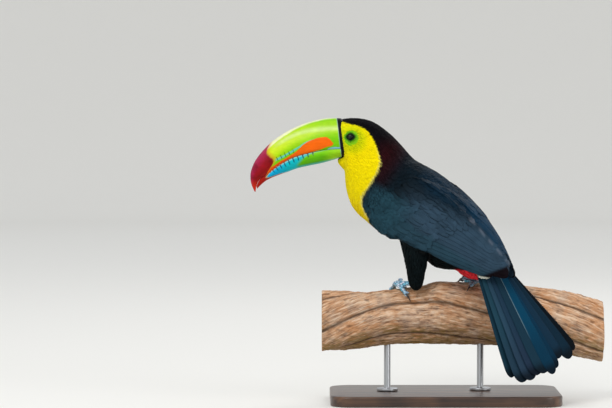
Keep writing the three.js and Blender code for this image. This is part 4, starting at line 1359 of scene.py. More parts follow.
# %% [markdown]
# ### The bill's colours
# The pigments lie in the sheath in soft-edged fields: green with an orange flame, a blue line, a
# crimson tip. A cream line along the ridge and a pale band along the upper half are painted
# highlights over paler parts of the horn, and the black rim's pale border is a painted highlight.
# Each field's border is a curve over the bill's own map, which runs from base to tip and from the
# cutting edge to the ridge. Growth shows as faint bands round the bill and as fine lines along it.

# %% Fields with curved borders
def border(tree, position, value, curve, soft):
    """1 where a value lies above a curve over another value, else 0, with a soft border."""
    line = add(tree, "FloatCurve", {"Value": position}, curve=curve)
    over = add(tree, "Math", {0: value, 1: line.outputs[0]}, operation="SUBTRACT")
    span = {"Value": over.outputs[0], "From Min": -soft, "From Max": soft}
    return add(tree, "MapRange", span, interpolation_type="SMOOTHSTEP").outputs[0]


def beyond(tree, value, place, soft):
    """1 where a value lies above a fixed place, else 0, with a soft border."""
    return border(tree, value, value, [(0, place), (1, place)], soft)


def opposite(tree, mask):
    return add(tree, "Math", {0: 1.0, 1: mask}, operation="SUBTRACT").outputs[0]


def strokes(tree, t, v, spacing, shift, edge, pace, spread):
    """Dark strokes across the bill: where they stand along it, and v with lengths of their own."""
    saw = add(tree, "Math", {0: t, 1: 1 / spacing, 2: shift}, operation="MULTIPLY_ADD").outputs[0]
    tooth = add(tree, "Math", {0: saw}, operation="FRACT").outputs[0]
    stroke = add(tree, "MapRange", {"Value": tooth, "From Min": edge[0], "From Max": edge[1]}).outputs[0]
    place = add(tree, "Math", {0: t, 1: pace}, operation="MULTIPLY").outputs[0]
    unevenness = add(tree, "TexNoise", {"W": place}, noise_dimensions="1D").outputs[0]
    longer = add(tree, "Math", {0: unevenness, 1: -spread, 2: v}, operation="MULTIPLY_ADD").outputs[0]
    return stroke, longer


def horn(name):
    """Polished keratin. Returns its tree, its shader, and t and v of the bill's map, unevened."""
    material, tree, shader = new_material(name, Roughness=0.3, IOR=1.5)
    shader.inputs["Specular IOR Level"].default_value = 0.15
    where = add(tree, "UVMap", uv_map="Horn")
    ragged = add(tree, "TexNoise", {"Vector": where.outputs[0], "Scale": 22.0, "Detail": 3.0})
    nudge = add(tree, "VectorMath", {0: ragged.outputs["Color"], 1: (0.5, 0.5, 0.5)}, operation="SUBTRACT")
    small = add(tree, "VectorMath", {0: nudge.outputs[0], 1: (0.012, 0.045, 0.0)}, operation="MULTIPLY")
    moved = add(tree, "VectorMath", {0: where.outputs[0], 1: small.outputs[0]}, operation="ADD")
    split = add(tree, "SeparateXYZ", {0: moved.outputs[0]})
    plain = add(tree, "SeparateXYZ", {0: where.outputs[0]})
    return material, tree, shader, split.outputs[0], split.outputs[1], plain.outputs[0]


# Where the black rim ends, and where its thin pale border, a painted highlight, starts and ends, along t.
RIM_AT = (0.0155, 0.019, 0.024)


def finish_horn(tree, shader, colour, t):
    """Growth bands, fine lines along the bill, a little mottling, the black rim at the base, and a painted
    highlight along the rim's border.
    """
    where = add(tree, "TexCoord")
    along_bill = {"Vector": where.outputs["Object"], "Rotation": (0, 0.5, 0), "Scale": (60, 400, 400)}
    stretched = add(tree, "Mapping", along_bill)
    lines = add(tree, "TexNoise", {"Vector": stretched.outputs[0], "Scale": 1.0, "Detail": 4.0})
    mottle = add(tree, "TexNoise", {"Vector": where.outputs["Object"], "Scale": 1 / 0.009, "Detail": 3.0})
    tone = add(tree, "Math", {0: lines.outputs[0], 1: 0.28, 2: 0.72}, operation="MULTIPLY_ADD")
    tone = add(tree, "Math", {0: mottle.outputs[0], 1: 0.3, 2: tone.outputs[0]}, operation="MULTIPLY_ADD")
    toned = add(tree, "VectorMath", {0: colour, "Scale": tone.outputs[0]}, operation="SCALE")
    black = add(tree, "MapRange", {"Value": t, "From Min": RIM_AT[1], "From Max": RIM_AT[0]})
    # The rim's thin pale border is a painted highlight.
    pale = add(tree, "MapRange", {"Value": t, "From Min": RIM_AT[2], "From Max": RIM_AT[1]})
    edged = field(tree, toned.outputs[0], "#8fa9bb", pale.outputs[0], strength=0.7)
    colour = field(tree, edged, "#07070c", black.outputs[0])
    tree.links.new(colour, shader.inputs["Base Color"])
    bands = add(tree, "TexWave", {"Vector": where.outputs["Object"], "Scale": 1 / 0.03, "Distortion": 3.0})
    relief = {0: bands.outputs["Fac"], 1: 0.25, 2: lines.outputs[0]}
    height = add(tree, "Math", relief, operation="MULTIPLY_ADD")
    bump = add(tree, "Bump", {"Height": height.outputs[0], "Strength": 0.25, "Distance": 0.0006})
    tree.links.new(bump.outputs[0], shader.inputs["Normal"])
    gloss = add(tree, "MapRange", {"Value": mottle.outputs[0], "To Min": 0.28, "To Max": 0.5})
    tree.links.new(gloss.outputs[0], shader.inputs["Roughness"])


# %% Upper half of the bill
# Borders over the map: pairs of t, from base to tip, and v, from cutting edge to ridge.
RIDGE = [(0, 1.0), (0.1, 0.975), (0.25, 0.95), (0.37, 0.9), (0.45, 0.88), (1, 0.9)]
BLUE_LOW = [(0, 0.42), (0.26, 0.335), (0.316, 0.255), (0.396, 0.19), (0.49, 0.22), (0.55, 0.3), (1, 0.4)]
BLUE_HIGH = [(0, 0.47), (0.26, 0.385), (0.316, 0.31), (0.396, 0.26), (0.49, 0.31), (0.55, 0.4), (1, 0.5)]
FLAME_TOP = [
    (0, 0.1), (0.062, 0.2), (0.085, 0.34), (0.122, 0.42), (0.186, 0.42), (0.26, 0.355),
    (0.32, 0.22), (0.38, 0.13), (0.53, 0.14), (0.64, 0.2), (1, 0.3),
]
GAPE_TOP = [(0, 0.04), (0.05, 0.06), (0.09, 0.05), (0.12, 0.0), (0.2, -0.05), (1, -0.1)]
# Borders across the bill are pairs of v and t instead.
FLAME_FROM = [(0, 0.105), (0.1, 0.078), (0.24, 0.062), (0.36, 0.082), (0.5, 0.12), (1, 0.2)]
TIP_FROM = [(0, 0.66), (0.12, 0.6), (0.22, 0.54), (0.37, 0.516), (0.53, 0.524), (0.84, 0.524), (1, 0.48)]
CRIMSON = [(0.0, "#b01804"), (0.25, "#880404"), (0.55, "#980a1c"), (0.8, "#a81e44"), (1.0, "#a83458")]

upper_horn, tree, shader, t, v, plain_t = horn("polished_green_horn")
ramp = [(0.0, "#6cc000"), (0.35, "#7ac800"), (0.5, "#92d204"), (0.62, "#b6e030"), (1.0, "#86ca00")]
colour = add(tree, "ValToRGB", {"Fac": v}, ramp=ramp).outputs[0]
yellowing = add(tree, "MapRange", {"Value": t, "From Min": 0.12, "From Max": 0.5}).outputs[0]
high = border(tree, t, v, [(0, 0.5), (0.3, 0.4), (1, 0.35)], 0.25)
colour = field(tree, colour, "#d6e80c", yellowing, high, strength=0.75)
# A cream line along the ridge: the horn's paler ridge, with a painted highlight over it.
ridge = border(tree, t, v, RIDGE, 0.03)
colour = field(tree, colour, "#f2efc6", ridge, strength=0.85)
# A pale band along the upper half: a paler streak of the horn, with a painted highlight over it.
highlight_band_low = border(tree, t, v, [(0, 0.6), (0.14, 0.63), (0.28, 0.7), (0.4, 0.7), (1, 0.7)], 0.06)
highlight_band_high = border(tree, t, v, [(0, 0.72), (0.14, 0.75), (0.28, 0.82), (0.4, 0.84), (1, 0.85)], 0.07)
under_high, until = opposite(tree, highlight_band_high), opposite(tree, beyond(tree, t, 0.44, 0.06))
colour = field(tree, colour, "#eaf6b4", highlight_band_low, under_high, until, strength=0.4)
# The blue line over the flame.
blue_low = border(tree, t, v, BLUE_LOW, 0.015)
blue_high = border(tree, t, v, BLUE_HIGH, 0.02)
under_high, start = opposite(tree, blue_high), beyond(tree, t, 0.2, 0.04)
until = opposite(tree, beyond(tree, t, 0.5, 0.02))
colour = field(tree, colour, "#5cc8c0", blue_low, under_high, start, until, strength=0.8)
# The orange flame, which narrows to a stripe along the cutting edge.
flame_top = border(tree, t, v, FLAME_TOP, 0.018)
flame_low = border(tree, t, v, [(0, 0.12), (0.074, 0.11), (0.174, 0.03), (0.25, 0.0), (1, -0.1)], 0.018)
flame_from = border(tree, v, t, FLAME_FROM, 0.006)
orange = add(tree, "MapRange", {"Value": t, "From Min": 0.3, "From Max": 0.6}).outputs[0]
flame = add(tree, "Mix", {0: orange, MIX_A: linear("#f26600"), MIX_B: linear("#de4600")}, data_type="RGBA")
colour = field(tree, colour, flame.outputs[MIX_RESULT], opposite(tree, flame_top), flame_low, flame_from)
# Light blue horn in the corner of the gape.
gape_top = border(tree, t, v, GAPE_TOP, 0.012)
colour = field(tree, colour, "#8fd0e2", opposite(tree, gape_top))
# Short dark strokes over the stripe, each of its own length: the notches' shadows.
stroke, longer = strokes(tree, t, v, 0.033, 0.2, (0.8, 0.9), 45.0, 0.3)
over_low = border(tree, t, v, [(0, 0.13), (0.38, 0.15), (0.5, 0.2), (1, 0.3)], 0.012)
under_high = opposite(tree, border(tree, t, longer, [(0, 0.1), (0.38, 0.15), (0.5, 0.22), (1, 0.3)], 0.02))
start, until = beyond(tree, t, 0.35, 0.02), opposite(tree, beyond(tree, t, 0.51, 0.01))
colour = field(tree, colour, "#0a2a24", stroke, over_low, under_high, start, until)
# The crimson tip, with a warm border, dull patches and a bright end.
red = border(tree, v, t, TIP_FROM, 0.01)
warm = border(tree, v, t, [(position, edge - 0.022) for position, edge in TIP_FROM], 0.015)
colour = field(tree, colour, "#d8881c", warm, strength=0.55)
# Towards the ridge the crimson turns pinker: partly the horn's own colour, partly a painted highlight.
colour = field(tree, colour, add(tree, "ValToRGB", {"Fac": v}, ramp=CRIMSON).outputs[0], red)
where = add(tree, "TexCoord").outputs["Object"]
dull = add(tree, "TexNoise", {"Vector": where, "Scale": 1 / 0.012, "Detail": 2.0})
patch = add(tree, "MapRange", {"Value": dull.outputs[0], "From Min": 0.45, "From Max": 0.7}).outputs[0]
colour = field(tree, colour, "#640206", red, patch, strength=0.8)
colour = field(tree, colour, "#d02a04", beyond(tree, t, 0.86, 0.07), strength=0.8)
finish_horn(tree, shader, colour, plain_t)
finish(upper_bill, upper_horn, "horn_upper", "bill_upper")

# %% Lower half of the bill
EDGE_BAND = [(0, 0.03), (0.18, 0.05), (0.353, 0.1), (0.493, 0.12), (0.63, 0.1), (0.9, 0.1)]
STROKES_TO = [(0, -0.05), (0.27, 0.1), (0.45, 0.26), (0.63, 0.26), (0.9, 0.2)]

lower_horn, tree, shader, t, v, plain_t = horn("polished_blue_green_horn")
ramp = [(0.0, "#80cc06"), (0.4, "#66c000"), (0.8, "#5ab408"), (1.0, "#2fae7a")]
colour = add(tree, "ValToRGB", {"Fac": v}, ramp=ramp).outputs[0]
base_pale = border(tree, v, t, [(0, 0.1), (1, 0.14)], 0.08)
colour = field(tree, colour, "#a6d81c", opposite(tree, base_pale), strength=0.7)
teal = border(tree, t, v, [(0, 1.0), (0.12, 0.9), (0.33, 0.84), (0.9, 0.7)], 0.08)
colour = field(tree, colour, "#0aa89c", teal, strength=0.85)
cyan_from = [(0, 0.24), (0.12, 0.28), (0.22, 0.32), (0.45, 0.36), (0.63, 0.385), (0.93, 0.41), (1, 0.42)]
cyan = border(tree, v, t, cyan_from, 0.03)
colour = field(tree, colour, "#00bcc6", cyan)
colour = field(tree, colour, "#00a0e0", cyan, beyond(tree, t, 0.54, 0.09), strength=0.7)
edge_band = border(tree, t, v, EDGE_BAND, 0.02)
colour = field(tree, colour, "#b7e0d0", opposite(tree, edge_band), strength=0.55)
stroke, longer = strokes(tree, t, v, 0.042, 0.05, (0.7, 0.84), 40.0, 0.35)
under_high = opposite(tree, border(tree, t, longer, STROKES_TO, 0.04))
start = border(tree, v, t, [(0, 0.23), (1, 0.27)], 0.02)
until = opposite(tree, border(tree, v, t, [(0, 0.64), (1, 0.6)], 0.02))
colour = field(tree, colour, "#063c54", stroke, under_high, start, until, strength=0.95)
tip_from = [(0, 0.7), (0.8, 0.68), (0.9, 0.6), (1, 0.52)]
red = border(tree, v, t, tip_from, 0.012)
warm = border(tree, v, t, [(position, edge - 0.027) for position, edge in tip_from], 0.015)
colour = field(tree, colour, "#c89a08", warm, strength=0.8)
colour = field(tree, colour, "#a81604", red)
finish_horn(tree, shader, colour, plain_t)
finish(lower_bill, lower_horn, "horn_lower", "bill_lower")

# %% [markdown]
# ## Eyes and lids
# A museum gives a bird glass eyes: a dome of clear glass over a painted iris. The cornea bulges
# a little from the ball. The lids are a thin rim of bare skin, nearly black at its edge, with fine
# beads of green skin round it, and they meet in a short corner before and behind the eye.

# %% Eyeballs
glass_eye, tree, shader = new_material("glass_eye", Roughness=0.03, IOR=1.45)
shader.inputs["Specular IOR Level"].default_value = 0.4
ring = add(tree, "Attribute", attribute_name="Iris")
# From the middle of the pupil to the edge of the iris.
iris_ramp = [
    (0.0, "#010102"), (0.42, "#010202"), (0.48, "#12240a"),
    (0.62, "#1c3a0c"), (0.74, "#081204"), (1.0, "#050803"),
]
paint = add(tree, "ValToRGB", {"Fac": ring.outputs["Fac"]}, ramp=iris_ramp)
tree.links.new(paint.outputs[0], shader.inputs["Base Color"])

lid_skin, tree, shader = new_material("beaded_lid_skin", Roughness=0.5)
shader.inputs["Specular IOR Level"].default_value = 0.15
tint = add(tree, "Attribute", attribute_name="Plumage")
where = add(tree, "TexCoord")
beads = add(tree, "TexVoronoi", {"Vector": where.outputs["Object"], "Scale": 1 / 0.0007}, feature="SMOOTH_F1")
# The skin is darker between the beads: painted shade in the grooves between them.
shade = add(tree, "MapRange", {"Value": beads.outputs["Distance"], "To Min": 1.15, "To Max": 0.55})
toned = add(tree, "VectorMath", {0: tint.outputs["Color"], "Scale": shade.outputs[0]}, operation="SCALE")
relief = {"Height": beads.outputs["Distance"], "Strength": 0.6, "Distance": 0.0003}
bump = add(tree, "Bump", relief, invert=True)
tree.links.new(toned.outputs[0], shader.inputs["Base Color"])
tree.links.new(bump.outputs[0], shader.inputs["Normal"])

CORNEA_BULGE = 0.35
IRIS_ANGLE = math.radians(60)
# The eye looks out along the head's mean slope at these places round it: X and Z in metres.
ROUND_EYE = [(0.012, 0), (-0.011, 0), (0, 0.012), (0, -0.012)]
# The head's height is measured this far from the eye, from outside, and followed in on its curve.
LID_REACH, RAY_START, HEAD_CURVE = 9.5 * MM, 30 * MM, 25 * MM
# The rings of each lid: radius, thickness and height in mm, and colour.
LID_RINGS = [
    (4.15, 0.62, 0.15, "#060c05"),
    (5.2, 0.55, 0.0, "#3c7c08"),
    (6.3, 0.5, -0.25, "#6cbc0a"),
    (7.4, 0.4, -0.6, "#8ed012"),
]


def eye(side):
    centre, radius = EYES[side]
    aside = -1.0 if side == "left" else 1.0
    _, outwards = on_guide(centre + np.array([(dx, aside * 0.02, dz) for dx, dz in ROUND_EYE]))
    look = unit(outwards.mean(axis=0) + np.array([0, aside, 0]))
    deselect()
    bpy.ops.mesh.primitive_uv_sphere_add(segments=48, ring_count=32, radius=radius)
    ball = bpy.context.active_object
    ball.name = f"eyeball_{side}"
    places = points_of(ball)
    turn = Vector((0, 0, 1)).rotation_difference(Vector(look)).to_matrix()
    angle = np.arccos(np.clip(places[:, 2] / radius, -1, 1))
    places *= (1 + CORNEA_BULGE * MM / radius * smooth_step(0.75, 0.2, angle))[:, None]
    place_points(ball, places @ np.array(turn).T + centre)
    store(ball, "Iris", (angle / IRIS_ANGLE).clip(0, 1))
    finish(ball, glass_eye, "eye", f"eye_{side}")
    return centre, look, np.array(turn)


def lids(side, centre, look, turn):
    """Rings of lid skin, each a torus pressed to the head's surface."""
    rings = []
    for radius, thick, proud, colour in LID_RINGS:
        deselect()
        bpy.ops.mesh.primitive_torus_add(
            major_segments=72, minor_segments=12, major_radius=radius, minor_radius=thick
        )
        ring = bpy.context.active_object
        x, y, z = points_of(ring).T
        phase = np.arctan2(y, x)
        along = turn.T @ np.array([1.0, 0, 0])
        front = math.atan2(along[1], along[0])
        # The opening is longer than it is high, and drawn out to its two corners.
        stretch = 1 + 0.07 * np.cos(2 * (phase - front)) + 0.05 * np.cos(4 * (phase - front))
        flat = np.stack([x * stretch, y * stretch, 0 * z], axis=1) @ turn.T * MM + centre
        ahead = np.stack([np.cos(phase), np.sin(phase), 0 * z], axis=1) @ turn.T
        rise = []
        for start in (centre + ahead * LID_REACH + look * RAY_START).tolist():
            hit = guide_tree.ray_cast(Vector(start), -Vector(look))[0]
            rise.append((np.array(hit) - centre) @ look)
        level = np.array(rise) + (LID_REACH**2 - (radius * MM) ** 2) / (2 * HEAD_CURVE)
        place_points(ring, flat + look * (level + (z + proud) * MM)[:, None])
        colour_points(ring, np.tile(linear(colour), (len(z), 1)))
        rings.append(ring)
    piece = joined(rings, f"eyelids_{side}")
    finish(piece, lid_skin, "plumage_face")


for side in EYES:
    lids(side, *eye(side))

# %% [markdown]
# ## Feet
# A toucan has two toes forward and two back, and grips a branch from both sides. Their tops carry
# broad horny plates, the scutes, one after another like roof tiles, which are laid here as short
# thick vanes across each toe. The claws are curved horn.

# %% Scutes along the toes and shanks
scute_skin, tree, shader = new_material("horny_blue_scutes", Roughness=0.4, IOR=1.5)
tint = add(tree, "Attribute", attribute_name="Plumage")
vane = add(tree, "Attribute", attribute_name="Feather")
split = add(tree, "SeparateXYZ", {0: vane.outputs["Vector"]})
# Each scute darkens towards its root, as painted shade where the scute before it overlaps, and is paler at
# its tip.
shaded_root_pale_tip = {"From Min": 0.25, "From Max": 0.9, "To Min": 0.25, "To Max": 1.15}
wear_and_shade = add(tree, "MapRange", {"Value": split.outputs[1], **shaded_root_pale_tip})
toned = add(tree, "VectorMath", {0: tint.outputs["Color"], "Scale": wear_and_shade.outputs[0]}, operation="SCALE")
tree.links.new(toned.outputs[0], shader.inputs["Base Color"])

SCUTE_SPACING = 2.5
foot_trees = {}


def scute_line(side, start, end, normal_from, count):
    """Places along a toe's top, from its start to its end, found from outside the toe."""
    share = np.linspace(0.0, 1.0, count)[:, None]
    line = np.array(start) * (1 - share) + np.array(end) * share
    places, up = [], []
    for point in line:
        outward = Vector(point - normal_from(point)).normalized()
        hit, normal, _, gap = foot_trees[side].ray_cast(Vector(point) + outward * 0.012, -outward)
        if hit is None or gap > 0.02:
            hit, normal, _, _ = foot_trees[side].find_nearest(Vector(point) + outward * 0.003)
        places.append(tuple(hit))
        up.append(tuple(normal.lerp(outward, 0.6)))
    return np.array(places), unit(np.array(up))


# The perch's axis and radius along it, in mm.
PERCH = [
    ((-150, -6.0, 98.0), 38.3), ((-106, -3.0, 100.5), 36.0), ((-68, -1.0, 104.0), 34.3),
    ((-30, 1.0, 106.8), 35.8), ((-9, 2.5, 109.7), 38.7), ((18, 4.5, 109.2), 38.5),
    ((67, 9.0, 105.5), 37.2), ((116, 13.0, 99.5), 38.2), ((156, 15.5, 94.0), 38.6),
    ((194, 18.0, 86.0), 38.0),
]
perch_axis = [row[0] for row in PERCH]


def perch_middle(point):
    """The perch's axis beside a place in metres."""
    along, y, z = np.array(perch_axis).T * MM
    return np.array([point[0], np.interp(point[0], along, y), np.interp(point[0], along, z)])


for side in EYES:
    foot_trees[side] = search_tree(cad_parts[f"foot_{side}"])
    low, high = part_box(f"foot_{side}")
    claw_middles = [sum(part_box(f"claw_{side}_{number}"), Vector()) / 2 for number in range(1, 5)]
    ball = sum(claw_middles, Vector()) / 4
    foot_points = points_of(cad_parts[f"foot_{side}"])
    heel = foot_points[foot_points[:, 2] > high.z - 0.003].mean(axis=0)
    low_points = foot_points[foot_points[:, 2] < high.z - 0.01]
    junction = np.array(ball) * 0.35 + low_points.mean(axis=0) * 0.65
    lines = [(np.array(heel), junction, lambda p, j=junction: j + (0, 0.02, -0.02), 12)]
    for middle in claw_middles:
        reach = np.linalg.norm(np.array(middle) - junction)
        lines.append((junction, np.array(middle), perch_middle, max(int(reach / MM / SCUTE_SPACING), 5)))
    groups = []
    for start, end, middle_of, count in lines:
        places, up = scute_line(side, start, end, middle_of, count)
        run = unit(np.gradient(places, axis=0))
        groups.append((places, up, run, np.linspace(3.6, 2.7, count)))
    starts, up, run, half = (np.concatenate(group) for group in zip(*groups))
    run = unit(run - (run * up).sum(axis=1)[:, None] * up)
    steps = np.linspace(-0.3, 1, 4)[None, :, None]
    rise = np.linspace(0.0, 1.3, 4)[None, :, None]
    paths = starts[:, None] + run[:, None] * steps * SCUTE_SPACING * 1.35 * MM + up[:, None] * rise * MM
    normals = np.repeat(up[:, None], 4, axis=1)
    # The right foot's scutes are painted darker than the left's: painted shade on the far foot.
    colours = np.array([linear("#86b4d4" if side == "left" else "#5b87a0")] * len(starts))
    blanched = random.uniform(0, 0.6, len(starts))[:, None]
    colours = tinted(colours, "#d2deea", blanched)
    colours = np.repeat(colours[:, None], 4, axis=1)
    tones = random.random(len(starts))
    scutes = lay(f"scutes_{side}", VANES["scale"], paths, normals, half * MM, colours, tones)
    finish(scutes, scute_skin, "leg_skin")

# %% Claws
claw_horn, tree, shader = new_material("dark_claw_horn", Roughness=0.32, IOR=1.54)
where = add(tree, "TexCoord")
streaks = add(tree, "TexNoise", {"Vector": where.outputs["Object"], "Scale": 1 / 0.0016, "Detail": 3.0})
ramp = [(0.3, "#17110e"), (0.55, "#33261e"), (0.75, "#5a4637")]
paint = add(tree, "ValToRGB", {"Fac": streaks.outputs[0]}, ramp=ramp)
bump = add(tree, "Bump", {"Height": streaks.outputs[0], "Strength": 0.3, "Distance": 0.0003})
tree.links.new(paint.outputs[0], shader.inputs["Base Color"])
tree.links.new(bump.outputs[0], shader.inputs["Normal"])
for side in EYES:
    for number in range(1, 5):
        claw = copy_of_node(f"claw_{side}_{number}")
        claw.name = f"claw_horn_{side}_{number}"
        modify(claw, "SUBSURF", levels=2, render_levels=2)
        finish(claw, claw_horn, "claw_horn", f"claw_{side}_{number}")

# %% [markdown]
# ## The perch
# A liana grows as several woody ropes twisted round each other and grown together. Deep grooves
# run between its ribs and climb round it, and its bark is dry and cracked along the ribs. Moss
# sits in patches underneath, and the grooves and the bark's deepest hollows are painted darker
# as painted shade. The sawn ends show pale wood with rings.

# %% Sweep the ribs along the perch
PERCH_DEPTH = 0.94
RIBS, RIB_DEEP, RIB_MIDDLE = 5, 5.0, 0.8
RIB_CREST_X, RIB_DRIFT, RIB_TURN, RIB_EASE = -72.0, 0.23, 0.6, 40.0
SWELL_HEIGHT, SWELL_LENGTH = 0.8, 60.0
FIBRE_STRETCH = 0.16
END_SHARE = 0.05
# What the section works out for each point of the bark, for its material to read.
perch_marks = {}


def rib_turn(x):
    """How far the ribs have turned at X, in radians."""
    past = x - RIB_CREST_X
    return np.radians(RIB_DRIFT * past - RIB_TURN * np.hypot(past, RIB_EASE))


def perch_section(t, angle):
    """Flat sawn ends take the first and last share of t, and the bark the rest."""
    along = np.clip((t - END_SHARE) / (1 - 2 * END_SHARE), 0, 1)
    middle = smooth_line(perch_axis, along * (len(PERCH) - 1))
    radius = smooth_line([[row[1]] for row in PERCH], along * (len(PERCH) - 1))[:, 0]
    x = middle[:, 0]
    wave = RIBS * (angle + rib_turn(x)) / 2
    flute = np.abs(np.cos(wave))
    swell = SWELL_HEIGHT * np.sin(2 * angle + (x + 18) / SWELL_LENGTH)
    r = radius + RIB_DEEP * (flute - RIB_MIDDLE) + swell
    groove = smooth_step(0.26, 0.0, flute)
    # Bark: cracked plates stretched along the ribs, a few knots, and finer grit.
    round_about = np.stack([x, np.sin(angle) * radius, np.cos(angle) * radius], axis=1)
    ridged = np.array([noise.noise(Vector(place)) for place in round_about * (0.12, 0.32, 0.32)])
    coarse_grit = np.array([noise.noise(Vector(place) / 7.0) for place in round_about])
    fine_grit = np.array([noise.noise(Vector(place) / 2.2) for place in round_about])
    # The bark's fibres follow the ribs as they climb round it.
    phase = angle + rib_turn(x)
    grain = np.stack([x * FIBRE_STRETCH, np.sin(phase) * radius, np.cos(phase) * radius], axis=1)
    # The bark only cuts inwards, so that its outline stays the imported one.
    rough = 0.9 * ridged + 0.7 * coarse_grit + 0.35 * fine_grit - 0.5
    inside = np.minimum(np.minimum(t, 1 - t) / END_SHARE, 1)
    r = (r + rough * smooth_step(0.9, 1, inside)) * np.where(inside < 1, 0.985 * inside, 1)
    points = middle + np.stack([0 * x, -np.sin(angle) * r * PERCH_DEPTH, np.cos(angle) * r], axis=1)
    sawn = (inside < 0.999) * 1.0
    perch_marks.update(Groove=groove, Rough=rough, Sawn=sawn, Grain=grain, Ring=inside)
    return points, t, angle / (2 * math.pi) + 0.5


perch = tube("perch_bark", 240, 400, perch_section, "Bark")
perch_marks["Under"] = -normals_of(perch)[:, 2]
for name, values in perch_marks.items():
    store(perch, name, values)

# %% Bark and sawn wood
bark, tree, shader = new_material("dry_liana_bark", Roughness=0.85)
shader.inputs["Specular IOR Level"].default_value = 0.25
where = add(tree, "TexCoord")
grain = add(tree, "Attribute", attribute_name="Grain").outputs["Vector"]
groove, rough, sawn, ring, under = (
    add(tree, "Attribute", attribute_name=name).outputs["Fac"]
    for name in ("Groove", "Rough", "Sawn", "Ring", "Under")
)
fibres = add(tree, "TexNoise", {"Vector": grain, "Scale": 1 / 3.4, "Detail": 8.0, "Roughness": 0.66})
blotches = {"Scale": 1 / 0.022, "Detail": 5.0, "Roughness": 0.6}
blotch = add(tree, "TexNoise", {"Vector": where.outputs["Object"], **blotches})
speckle = add(tree, "TexNoise", {"Vector": grain, "Scale": 1 / 2.2, "Detail": 4.0})
ramp = [(0.3, "#6a4c3a"), (0.4, "#a37c5e"), (0.5, "#c79c7a"), (0.6, "#deb896"), (0.7, "#efd4b8")]
colour = add(tree, "ValToRGB", {"Fac": fibres.outputs[0]}, ramp=ramp).outputs[0]
warm = add(tree, "MapRange", {"Value": blotch.outputs[0], "From Min": 0.45, "From Max": 0.65}).outputs[0]
colour = field(tree, colour, "#bd7a40", warm, strength=0.5)
grey = add(tree, "MapRange", {"Value": blotch.outputs[0], "From Min": 0.5, "From Max": 0.33}).outputs[0]
colour = field(tree, colour, "#968c84", grey, strength=0.35)
pale = add(tree, "MapRange", {"Value": speckle.outputs[0], "From Min": 0.54, "From Max": 0.66}).outputs[0]
colour = field(tree, colour, "#f2ddc4", pale, strength=0.45)
pits = add(tree, "MapRange", {"Value": speckle.outputs[0], "From Min": 0.43, "From Max": 0.33}).outputs[0]
colour = field(tree, colour, "#58402e", pits, strength=0.55)
# The bark is darker where it is cut deepest: painted shade in its hollows.
low = add(tree, "MapRange", {"Value": rough, "From Min": -0.8, "From Max": -1.5}).outputs[0]
colour = field(tree, colour, "#4e3a2c", low, strength=0.6)
patchy = {"Value": blotch.outputs[0], "From Min": 0.42, "From Max": 0.56}
moss_patch = add(tree, "MapRange", patchy).outputs[0]
below = add(tree, "MapRange", {"Value": under, "From Min": 0.35, "From Max": 0.85}).outputs[0]
colour = field(tree, colour, "#8a7c3a", below, moss_patch, strength=0.55)
# The grooves are darkened as painted shade.
colour = field(tree, colour, "#2e2118", groove, strength=0.8)
# The rings are uneven: blotches push each of them in and out.
wandering = add(tree, "Math", {0: blotch.outputs[0], 1: 0.5, 2: ring}, operation="MULTIPLY_ADD").outputs[0]
rings = add(tree, "Math", {0: wandering, 1: 90.0}, operation="MULTIPLY").outputs[0]
ringed = add(tree, "Math", {0: rings}, operation="SINE").outputs[0]
wood_tone = add(tree, "MapRange", {"Value": ringed, "From Min": -1.0}).outputs[0]
wood = add(tree, "Mix", {0: wood_tone, MIX_A: linear("#bd986c"), MIX_B: linear("#cbaa7e")}, data_type="RGBA")
rayed = field(tree, wood.outputs[MIX_RESULT], "#8f6b45", pits, strength=0.6)
colour = field(tree, colour, rayed, sawn)
tree.links.new(colour, shader.inputs["Base Color"])
height = add(tree, "Math", {0: speckle.outputs[0], 1: 0.5, 2: fibres.outputs[0]}, operation="MULTIPLY_ADD")
bump = add(tree, "Bump", {"Height": height.outputs[0], "Strength": 0.7, "Distance": 0.0016})
tree.links.new(bump.outputs[0], shader.inputs["Normal"])
finish(perch, bark, "bark", "perch")

# %% [markdown]
# ## The display stand
# The base is a plank of dark hardwood with rounded corners and a small bevel, lacquered to a satin
# gloss. Two steel rods, each in a turned flange, are let into the perch from below.

# %% The base
low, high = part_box("stand_base")
CORNER_RADIUS, BASE_BEVEL = 0.026, 0.002
deselect()
bpy.ops.mesh.primitive_cube_add(size=1, location=(low + high) / 2)
base = bpy.context.active_object
base.name = "stand_plinth"
base.dimensions = high - low
bpy.ops.object.transform_apply(location=True, rotation=True, scale=True)
bpy.ops.object.mode_set(mode="EDIT")
bpy.ops.mesh.select_mode(type="EDGE")
bpy.ops.mesh.select_all(action="DESELECT")
bpy.ops.object.mode_set(mode="OBJECT")
for edge in base.data.edges:
    ends = [base.data.vertices[number].co for number in edge.vertices]
    edge.select = abs(ends[0].z - ends[1].z) > 0.005
bpy.ops.object.mode_set(mode="EDIT")
bpy.ops.mesh.bevel(offset=CORNER_RADIUS, segments=14)
bpy.ops.object.mode_set(mode="OBJECT")
modify(base, "BEVEL", width=BASE_BEVEL, segments=4, limit_method="ANGLE", angle_limit=math.radians(60))

